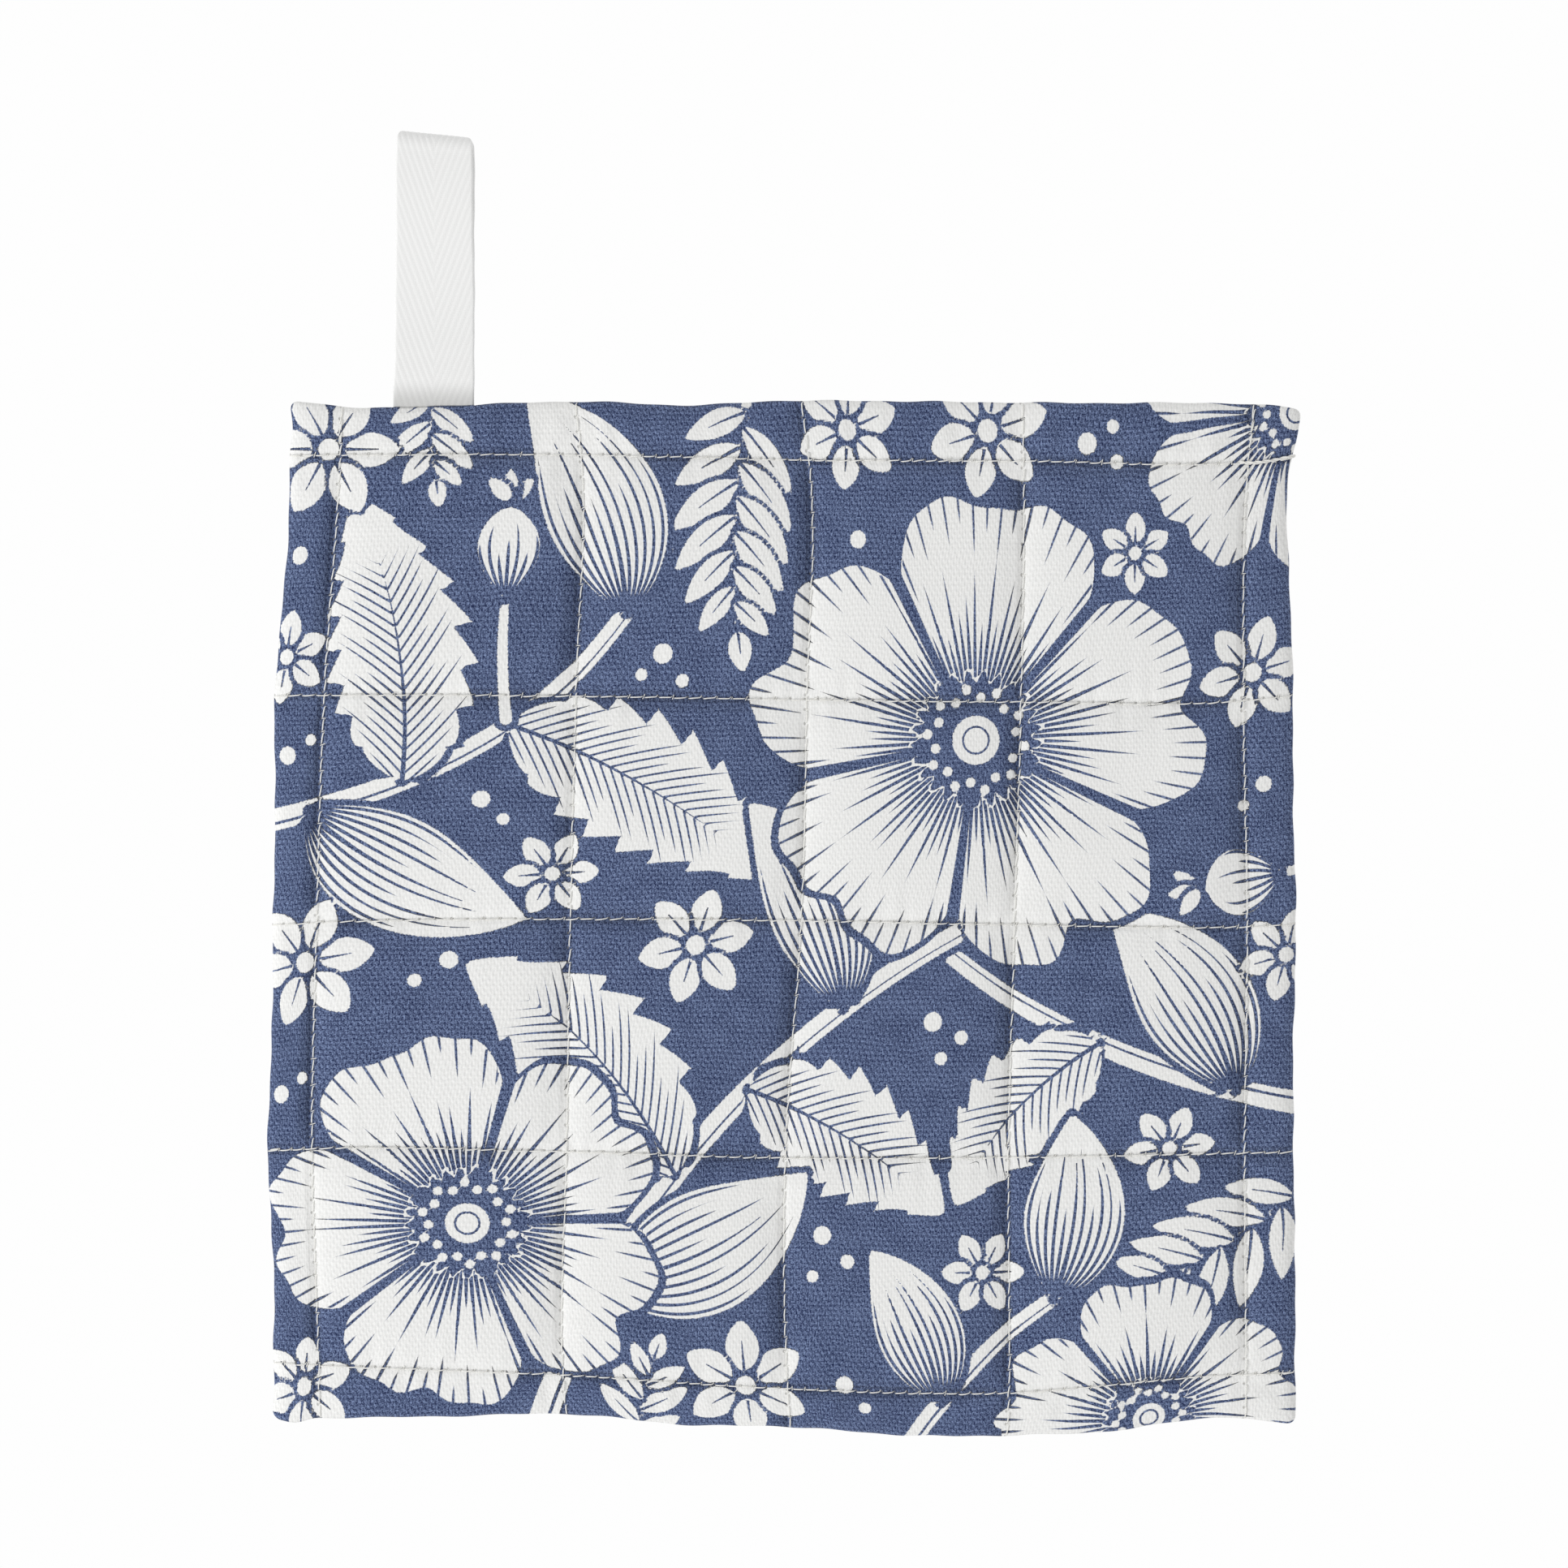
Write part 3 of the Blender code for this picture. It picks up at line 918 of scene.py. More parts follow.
    def stem(self, at: Point, turn: float, length: float, half_width: float, bend: float,
             taper: float) -> None:
        """A stem that thins towards its rounded end, with a line drawn along one side.

        Args:
            at: Where it starts.
            turn: Its heading there, in degrees.
            length: Its length.
            half_width: Half its width where it starts.
            bend: One over its axis's radius.
            taper: By what share of its width it thins.
        """
        along, across = frame_at(self.x, self.y, at, turn, bend)
        share = np.clip(along / length, 0.0, 1.0)
        width = half_width * (1.0 - taper * share)
        nearest = np.hypot(along - np.clip(along, 0.0, length), across)
        shade = 0.36 - 0.2 * share if half_width > 1.1 else self.no_line
        self.lay(width - nearest, 1.3, cut=across + 0.35 * width, cut_half=shade)

    def disc(self, at: Point, radius: float) -> None:
        """A round spot."""
        self.lay(radius - np.hypot(self.x - at[0], self.y - at[1]), 0.9)

    def frond(self, at: Point, turn: float, length: float, bend: float, pairs: int,
              leaflet: float) -> None:
        """A fern frond: leaflets on a bent stalk, shorter towards both ends.

        Args:
            at: Where the stalk starts.
            turn: Its heading there, in degrees.
            length: Its length.
            bend: One over its axis's radius.
            pairs: How many pairs of leaflets it has.
            leaflet: A leaflet's length, roughly.
        """
        self.stem(at, turn, length, 1.0, bend, 0.6)
        for side in (-1, 1):
            for i in range(pairs):
                share = (i + 0.45 + 0.22 * side) / pairs
                base, heading = point_on(at, turn, bend, length * (0.1 + 0.86 * share))
                swell = math.sin(math.pi * (0.25 + 0.68 * share)) ** 1.2
                size = leaflet * (0.55 + 0.75 * swell)
                self.blade(base, heading + side * (56 - 12 * share), size, 0.14 * size + 0.6,
                           -side * 0.012, belly=0.85, midrib=0.3, gap=0.9)
        tip, heading = point_on(at, turn, bend, length + 0.12 * leaflet)
        self.blade(tip, heading, 0.62 * leaflet, 0.15 * leaflet + 0.4, midrib=0.3, gap=0.9)

    def star(self, at: Point, radius: float, turn: float, petals: int = 6) -> None:
        """A small flower of pointed petals round a dot.

        Args:
            at: The middle.
            radius: From the middle to the petals' tips.
            turn: The first petal's heading, in degrees.
            petals: How many petals there are.
        """
        for i in range(petals):
            heading = turn + 360.0 * i / petals
            base, _ = point_on(at, heading, 0.0, 0.24 * radius)
            self.blade(base, heading, 0.8 * radius, 0.27 * radius, belly=0.9, fullness=0.7,
                       midrib=0.3, gap=0.9)
        self.disc(at, 0.17 * radius)

    def pod(self, at: Point, turn: float, length: float, half_width: float, stalk: float,
            bend: float) -> None:
        """A ribbed seed pod on a bent stalk, with a crown of three points at its tip.

        Args:
            at: Where the stalk starts.
            turn: Its heading there, in degrees.
            length: The pod's length.
            half_width: Half the pod's width.
            stalk: The stalk's length.
            bend: One over its axis's radius.
        """
        self.stem(at, turn, stalk, 1.1, bend, 0.3)
        base, heading = point_on(at, turn, bend, stalk - 1.0)
        self.blade(base, heading, length, half_width, belly=1.25, fullness=0.62, ribs=3.2,
                   midrib=self.no_line)
        tip, _ = point_on(base, heading, 0.0, length + 1.4)
        for spread in (-46, 0, 46):
            self.blade(tip, heading + spread, 0.5 * half_width + 3.0, 1.5, midrib=self.no_line,
                       gap=1.0)

    def blossom(self, at: Point, radius: float, turn: float, rays: int, petals: int = 5) -> None:
        """A wide-open blossom of five broad petals round a small eye ringed with stamens.

        With p the angle from a petal's middle in half petals, its outer edge is at radius times
        (1 - 0.3 p^4 - 0.09 exp(-(p / 0.2)^2)) with a slight ruffle. The gap between petals
        widens outwards. Lines spread from the eye and, shorter, come in from the outer edge.

        Args:
            at: The middle.
            radius: From the middle to the petals' outer edge.
            turn: The first petal's heading, in degrees.
            rays: How many engraved lines half a petal has.
            petals: How many petals there are.
        """
        distance = np.maximum(np.hypot(self.x - at[0], self.y - at[1]), 1e-6)
        sector = TURN / petals
        angle = np.arctan2(self.y - at[1], self.x - at[0]) - math.radians(turn)
        number = np.floor(angle / sector + 0.5)
        p = (angle / sector - number) * 2.0
        ruffle = 0.02 * np.sin(9.0 * p + 2.1 * number) + 0.012 * np.sin(17.0 * p + number)
        notch = 0.09 * np.exp(-((p / 0.2) ** 2))
        rim = radius * (1 - 0.3 * p ** 4 - notch + ruffle * (1 - p ** 2))
        between = distance * np.sin((1 - np.abs(p)) * sector / 2)
        split = 0.32 + 0.028 * distance
        inside = np.minimum((rim - distance) * 0.9, between - split)
        eye = 0.17 * radius
        inside = np.where(distance < eye * 1.3, rim - distance, inside)
        ray = p * rays + 0.5
        line = np.floor(ray)
        reach = radius * (0.64 + 0.15 * np.sin(2.6 * line + 1.7 * number) - 0.08 * p ** 2)
        spacing = distance * sector / (2 * rays)
        rim_reach = radius * (0.17 + 0.07 * np.sin(3.1 * line + number))
        from_eye = self.tapering(distance / reach, 0.42)
        from_rim = self.tapering((rim - distance) / rim_reach, 0.36, 0.42, 3)
        half = np.maximum(from_eye, from_rim)
        border = np.where(np.abs(p) > 0.45, split, self.no_line)
        self.lay(inside, 1.5, ray, half / np.maximum(spacing, 0.5), between, border)
        self.eye_of(at, eye, distance, angle, turn, petals)

    def eye_of(self, at: Point, eye: float, distance: Array, angle: Array, turn: float,
               petals: int) -> None:
        """A blossom's eye: bare ground with a ragged rim, dots for stamens and a ringed middle.

        The bare ground reaches 1.42 times the eye's size and 1.2 mm more. The stamens stand by
        turns at 1.08 and 1.28 times its size, and the middle is 0.62 of it.

        Args:
            at: The middle.
            eye: The eye's size.
            distance: The distance from the middle.
            angle: The angle round it.
            turn: The first petal's heading, in degrees.
            petals: How many petals there are. There are four stamens to a petal.
        """
        crown = eye * (1.42 + 0.16 * np.cos(5 * petals * angle)) + 1.2
        self.edge = np.minimum(self.edge, distance - crown)
        self.ray_half = np.where(distance < crown, self.no_line, self.ray_half)
        self.cut_half = np.where(distance < crown, self.no_line, self.cut_half)
        for i in range(4 * petals):
            spot, _ = point_on(at, turn + 90.0 * i / petals, 0.0, eye * (1.28 if i % 2 else 1.08))
            dot = 0.078 * eye + 0.42 - np.hypot(self.x - spot[0], self.y - spot[1])
            self.edge = np.maximum(self.edge, dot)
        middle = 0.62 * eye - distance
        self.edge = np.maximum(self.edge, middle)
        self.cut = np.where(middle > -0.6, distance - 0.34 * eye, self.cut)
        self.cut_half = np.where(middle > -0.6, 0.28, self.cut_half)

    def draw(self) -> dict[str, Array]:
        """Lays all motifs, those behind first.

        Returns:
            The fields for the mesh, three to a vector.
        """
        for at, turn, bend, length, half_width in self.STEMS.values():
            self.stem(at, turn, length, half_width, bend, 0.3)
        for frond in self.FRONDS:
            self.frond(*frond)
        for stem, along, off, length, half_width, bend, kind in self.LEAVES:
            at, turn, stem_bend, _, _ = self.STEMS[stem]
            base, heading = point_on(at, turn, stem_bend, along)
            self.blade(base, heading + off, length, half_width, bend, **self.LEAF_STYLES[kind])
        for motif, table in ((self.pod, self.PODS), (self.disc, self.DOTS),
                             (self.blossom, self.BLOSSOMS), (self.star, self.STARS)):
            for row in table:
                motif(*row)
        nothing = np.zeros_like(self.ray)
        return {
            PRINT_WHITE: np.stack([self.edge, self.cut, self.cut_half], axis=-1),
            PRINT_LINES: np.stack([self.ray, self.ray_half, nothing], axis=-1),
        }


@dataclass
class QuiltedPad:
    """The filled pad: two cloths sewn together round the outline and along ten seams.

    Heights are above the floor. The lofts say how far the crown of a square stands off its
    seams, in front and at the back.
    """

    half: float = 100.0
    centre: Point = (0.0, -25.9)
    corner_radius: float = 1.8
    edge_seam_z: float = 3.0
    seam_front_z: float = 4.5
    seam_back_z: float = 0.9
    front_loft: float = 3.5
    back_loft: float = 1.6
    edge_roll: float = 8.0
    loft_power: float = 3.4
    crease: float = 0.03
    seam_floor: float = 0.7
    seam_floor_reach: float = 0.6
    uneven: float = 0.09
    full_half_width: float = 22.5
    border_steps: int = 16
    square_steps: int = 60
    waver: float = 0.16
    pucker: float = 0.17
    pucker_reach: float = 5.0
    pucker_start: float = 0.9
    stitch_pucker: float = 0.16
    edge_pucker: float = 0.12
    broad_pucker: float = 0.22
    ripples: Sequence[float] = (3.7, 5.3, 8.1, 13.0)
    edge_ripples: Sequence[float] = (4.3, 6.9, 11.0)
    mouth_middle: float = -72.0
    mouth_half: float = 8.2
    mouth_depth: float = 3.2
    mouth_fade: float = 4.0
    lip: float = 1.3
    lowest_thread: float = 0.17
    seed: int = 7
    seams: Array = field(default_factory=lambda: np.array([-100.0, -90, -45, 0, 45, 90, 100]))

    # How far across the pad each lengthwise seam lies, where it meets the bottom edge,
    # crosswise seams 1 to 5 and the top edge
    ACROSS = {
        "left edge": (-100.0, -99.7, -100.8, -99.8, -99.4, -96.4, -96.4),
        "seam 1": (-90.8, -91.0, -92.3, -91.4, -89.9, -86.8, -86.5),
        "seam 2": (-42.6, -43.3, -42.6, -41.9, -40.8, -39.8, -41.0),
        "seam 3": (1.1, 0.5, 0.1, 3.2, 4.3, 4.7, 3.2),
        "seam 4": (43.4, 43.7, 43.6, 44.8, 46.1, 46.6, 46.4),
        "seam 5": (90.0, 90.0, 89.7, 90.2, 89.5, 90.5, 91.6),
        "right edge": (100.2, 100.1, 99.8, 100.3, 99.7, 99.4, 101.6),
    }
    # How far along the pad each crosswise seam lies, where it meets the left edge, lengthwise
    # seams 1 to 5 and the right edge
    ALONG = {
        "bottom edge": (-98.2, -98.0, -97.2, -99.7, -101.4, -98.0, -99.2),
        "seam 1": (-86.8, -87.3, -89.2, -91.9, -92.7, -89.1, -88.9),
        "seam 2": (-45.5, -45.0, -45.6, -46.8, -46.7, -45.9, -45.8),
        "seam 3": (-1.4, -0.9, -0.2, -0.5, -1.3, -1.7, -1.3),
        "seam 4": (43.4, 43.5, 43.3, 42.6, 42.2, 42.4, 43.4),
        "seam 5": (90.4, 90.4, 90.4, 89.4, 89.2, 88.9, 89.7),
        "top edge": (101.0, 99.9, 100.8, 101.0, 100.6, 100.2, 99.4),
    }
    # How far each edge comes out in each strip between two seams, from the bottom or the left
    LEFT_AND_RIGHT = ((-0.3, -0.4, -0.4, -0.4, -0.4, -0.3), (0.1, 0.25, -0.3, -0.3, 0.45, 0.1))
    BOTTOM_AND_TOP = ((0.8, 0.3, 0.9, 0.35, 1.1, 0.3), (0.0, 0.2, -0.9, 0.0, -0.2, 0.1))

    def between_seams(self, at: Array) -> tuple[Array, Array]:
        """The strip between two seams that a coordinate is in, and its share across it."""
        i = np.clip(np.searchsorted(self.seams, at, side="right") - 1, 0, len(self.seams) - 2)
        return i, (at - self.seams[i]) / (self.seams[i + 1] - self.seams[i])

    def follow_seams(self, table: dict[str, Sequence[float]], position: Array,
                     along: Array) -> Array:
        """Reads a seam table.

        Args:
            table: Its rows, one for each seam and edge.
            position: Where the point is between the rows.
            along: Where it is along them.

        Returns:
            The table's value there, straight between two rows and smooth along them.
        """
        rows = np.array([smooth_through(self.seams, row, along) for row in table.values()])
        i, share = self.between_seams(position)
        low = np.take_along_axis(rows, i[None], axis=0)[0]
        high = np.take_along_axis(rows, i[None] + 1, axis=0)[0]
        return low * (1 - share) + high * share

    def bulge(self, sides: Sequence[Sequence[float]], position: Array, along: Array) -> Array:
        """How far the outline comes out between its seams' ends, with a slight waver.

        Args:
            sides: How far it comes out in each strip, on the low side and on the high one.
            position: The distance from the middle, towards the high side.
            along: Where the point is along the side.

        Returns:
            How far the point moves, fading inwards over the border.
        """
        i, share = self.between_seams(along)
        most = np.where(position < 0, np.array(sides[0])[i], np.array(sides[1])[i])
        near = ease((np.abs(position) - self.seams[-2]) / (self.half - self.seams[-2]))
        waver = np.sin(along / 2.3 + 2 * np.sign(position)) * np.sin(along / 7.1 + 1.0)
        outwards = most * np.sin(np.pi * share) ** 2 - self.waver * waver
        return np.sign(position) * near * outwards

    def plan(self, a: Array, b: Array) -> tuple[Array, Array]:
        """Where points of the flat cloth lie in the sewn pad, seen from above.

        In a corner, with p and q the shares of the corner's radius that a point lies past its
        start each way, squares round the corner's start become circles.

        Args:
            a: Places across the flat cloth.
            b: Places along it.

        Returns:
            The points' x and y.
        """
        start = self.half - self.corner_radius
        p = np.maximum(np.abs(a) - start, 0.0) / self.corner_radius
        q = np.maximum(np.abs(b) - start, 0.0) / self.corner_radius
        corner = (p > 0) & (q > 0)
        shrink = np.where(corner, np.maximum(p, q) / np.maximum(np.hypot(p, q), 1e-9), 1.0)
        a = np.where(p > 0, np.sign(a) * (start + p * shrink * self.corner_radius), a)
        b = np.where(q > 0, np.sign(b) * (start + q * shrink * self.corner_radius), b)
        x = self.follow_seams(self.ACROSS, a, b) + self.bulge(self.LEFT_AND_RIGHT, a, b)
        y = self.follow_seams(self.ALONG, b, a) + self.bulge(self.BOTTOM_AND_TOP, b, a)
        return x + self.centre[0], y + self.centre[1]

    def strip_loft(self, at: Array) -> Array:
        """Pillow profile across each strip between two seams, lower where it is narrow.

        With i the share inwards from the nearer seam, the profile is (1 - (1 - i)^n)^(1 / n),
        and the crease rounds off its start.

        Args:
            at: A coordinate on the flat cloth.

        Returns:
            The profile, which is 1 on the crown of a full square.
        """
        i, share = self.between_seams(at)
        half_width = (self.seams[i + 1] - self.seams[i]) / 2
        inward = 1 - np.abs(2 * share - 1)
        softened = np.sqrt(inward ** 2 + self.crease ** 2) - self.crease
        n = self.loft_power
        pillow = (1 - (1 - softened) ** n) ** (1 / n)
        return pillow * np.sqrt(half_width / self.full_half_width)

    def off_seam(self, at: Array) -> Array:
        """The distance from the nearest quilting seam."""
        return np.min([np.abs(at - seam) for seam in self.seams[1:-1]], axis=0)

    def roll(self, at: Array) -> Array:
        """From 0 at the outline to 1 where the cloth has rolled up, as a quarter circle."""
        inward = np.clip((self.half - np.abs(at)) / self.edge_roll, 0.0, 1.0)
        return np.sqrt(1 - (1 - inward) ** 2)

    def puckers(self, a: Array, b: Array) -> Array:
        """Small gathers beside each seam, and a broader unevenness over the pad.

        Beside a seam, at a distance d, the ripples along it are scaled by
        exp(-d / reach) (1 - exp(-d / start)), and each side has its own. The cloth also rises
        between two stitch holes, and ripples 5 mm inside the outline.

        Args:
            a: Places across the flat cloth.
            b: Places along it.

        Returns:
            What they add to the front's height.
        """
        rng = np.random.default_rng(self.seed)
        height = np.zeros_like(a)
        stitch = Stitch()
        for across, along in ((a, b), (b, a)):
            for seam in self.seams[1:-1]:
                d = across - seam
                size = np.abs(d)
                start = 1 - np.exp(-size / self.pucker_start)
                fade = np.exp(-size / self.pucker_reach) * start
                right, left = (waves(along, self.ripples, rng) for _ in range(2))
                ripple = np.where(d > 0, right, left)
                length = stitch.length_on(seam)
                between_holes = np.sin(np.pi * (along - stitch.first) / length) ** 2
                height += self.pucker * ripple * fade
                beside = np.exp(-((size - 0.8) / 0.6) ** 2)
                height += self.stitch_pucker * between_holes * beside
        edge = self.half - np.maximum(np.abs(a), np.abs(b))
        around = np.where(np.abs(a) > np.abs(b), b + 31 * np.sign(a), a + 57 * np.sign(b))
        near_edge = np.exp(-((edge - 5) / 3) ** 2)
        height += self.edge_pucker * waves(around, self.edge_ripples, rng) * near_edge
        broad = waves(a + 0.4 * b, (37.0, 61.0), rng) * waves(b - 0.3 * a, (43.0, 71.0), rng)
        return height + self.broad_pucker * broad * self.roll(a) * self.roll(b)

    def mouth(self, a: Array, b: Array) -> Array:
        """1 at the top edge where the tape comes out between the cloths, fading inwards."""
        across = np.abs(a - self.mouth_middle) < self.mouth_half
        return across * ease(1 - (self.half - b) / self.mouth_fade) * (b > 0)

    def front_height(self, a: Array, b: Array) -> Array:
        """The front cloth: low in the seams, crowned between them, with a lip at the mouth.

        Args:
            a: Places across the flat cloth.
            b: Places along it.

        Returns:
            Its height.
        """
        rolled = self.roll(a) * self.roll(b)
        base = self.edge_seam_z + (self.seam_front_z - self.edge_seam_z) * rolled
        uneven = 1 + self.uneven * np.sin(a / 31 + 0.6) * np.cos(b / 27 - 0.4)
        z = base + self.front_loft * self.strip_loft(a) * self.strip_loft(b) * uneven
        z += self.puckers(a, b) * np.minimum(rolled * 1.3, 1.0)
        off_seam = np.minimum(self.off_seam(a), self.off_seam(b))
        z += self.seam_floor * np.exp(-(off_seam / self.seam_floor_reach) ** 2) * rolled
        return np.maximum(z, self.edge_seam_z + self.lip * self.mouth(a, b))

    def back_height(self, a: Array, b: Array) -> Array:
        """The back cloth: level where it meets the floor, drawn up in the seams.

        Args:
            a: Places across the flat cloth.
            b: Places along it.

        Returns:
            Its height.
        """
        rolled = self.roll(a) * self.roll(b)
        base = self.edge_seam_z - (self.edge_seam_z - self.seam_back_z) * rolled
        z = base - self.back_loft * self.strip_loft(a) * self.strip_loft(b)
        z -= 0.5 * self.puckers(a, b) * np.minimum(rolled * 1.3, 1.0)
        return np.maximum(np.minimum(z, self.edge_seam_z - self.lip * self.mouth(a, b)), 0.0)

    def on_front(self, a: Array, b: Array, lift: float = 0.0) -> Array:
        """Points of the front cloth, raised by a lift."""
        x, y = self.plan(a, b)
        return np.stack([x, y, self.front_height(a, b) + lift], axis=-1)

    def on_back(self, a: Array, b: Array, lift: float = 0.0) -> Array:
        """Points of the back cloth, lowered by a lift.

        Args:
            a: Places across the flat cloth.
            b: Places along it.
            lift: How far a thread's middle hangs below the cloth, where that is above the floor.

        Returns:
            The points.
        """
        x, y = self.plan(a, b)
        z = self.back_height(a, b)
        return np.stack([x, y, np.maximum(z - lift, self.lowest_thread) if lift else z], axis=-1)

    def lines(self) -> Array:
        """The grid's lines on the flat cloth, closest together at the outline.

        Returns:
            Where they lie, the same each way.
        """
        share = (np.arange(self.border_steps) / self.border_steps) ** 1.5
        left = self.seams[0] + share * (self.seams[1] - self.seams[0])
        inner = np.linspace(self.seams[1], self.seams[-2], 4 * self.square_steps + 1)
        return np.concatenate([left, inner, -left[::-1]])

    def open_mouth(self, points: Array, a: Array, b: Array, row: int) -> None:
        """Opens the edge seam for the tape.

        Over the tape's width the outline's own points go into the pad, to the pocket's bottom,
        and the next row of points comes out to the outline, where it makes the lip.

        Args:
            points: A cloth's points, row by row, which are changed.
            a: Their places across the flat cloth.
            b: Their places along it.
            row: The row next to the outline.
        """
        over_tape = np.abs(a[-1] - self.mouth_middle) < self.mouth_half
        x, y = self.plan(a[-1], b[-1])
        points[row, over_tape, 1] = y[over_tape]
        points[-1, over_tape, 1] = y[over_tape] - self.mouth_depth

    def build(self) -> bpy.types.Object:
        """The pad as one closed mesh: a fine front, and a back with every other grid line.

        Returns:
            The pad, in printed canvas in front and plain canvas behind.
        """
        lines = self.lines()
        a, b = np.meshgrid(lines, lines)
        front = self.on_front(a, b)
        self.open_mouth(front, a, b, -2)
        back = self.on_back(a[::2, ::2], b[::2, ::2])
        self.open_mouth(back, a[::2, ::2], b[::2, ::2], -2)
        n, m = len(lines), len(lines[::2])
        front_number = np.arange(n * n).reshape(n, n)
        back_number = front_number[::2, ::2].copy()
        back_number[1:-1, 1:-1] = n * n + np.arange((m - 2) ** 2).reshape(m - 2, m - 2)
        points = np.concatenate([front.reshape(-1, 3), back[1:-1, 1:-1].reshape(-1, 3)])
        flat = np.stack([np.concatenate([v.ravel(), v[::2, ::2][1:-1, 1:-1].ravel()])
                         for v in (a, b)], axis=1)
        print_fields = Print(flat[:, 0], flat[:, 1]).draw()
        inner = grid_faces(m, m).reshape(m - 1, m - 1, 4)[1:-1, 1:-1].reshape(-1, 4)
        back_faces = [back_number.ravel()[inner][:, ::-1]]
        back_faces += self.rim_faces(front_number, back_number)
        faces = [grid_faces(n, n), *back_faces]
        canvas = [CanvasFinish(printed).build() for printed in (True, False)]
        pad = make_mesh("padded_front_and_back", points, faces, canvas, flat, print_fields)
        kinds = np.repeat([0, 1], [len(faces[0]), sum(len(f) for f in back_faces)])
        pad.data.polygons.foreach_set("material_index", kinds.astype(np.int32))
        return pad

    def rim_faces(self, front: Array, back: Array) -> list[Array]:
        """The back's faces along the outline, where the front has a point between each two.

        Args:
            front: The front's point numbers, row by row.
            back: The back's point numbers, at every other line.

        Returns:
            Faces of five points along the edges and of six at the corners, facing down.
        """
        last = len(back) - 2
        run, none, end = np.arange(1, last), np.zeros(last - 1, int), np.full(last - 1, last)
        cells = [(none, run), (end, run), (run, none), (run, end)]
        cells += [(np.array([j]), np.array([i])) for j in (0, last) for i in (0, last)]
        made = []
        for j, i in cells:
            ring = [(j, i), (j, i + 1), (j + 1, i + 1), (j + 1, i)]
            face = []
            for (j0, i0), (j1, i1) in zip(ring, ring[1:] + ring[:1]):
                face.append(back[j0, i0])
                flat_row = (j0 == j1).all() and ((j0 == 0).all() or (j0 == last + 1).all())
                flat_column = (i0 == i1).all() and ((i0 == 0).all() or (i0 == last + 1).all())
                if flat_row or flat_column:
                    face.append(front[j0 + j1, i0 + i1])
            made.append(np.stack(face[::-1], axis=1))
        return made


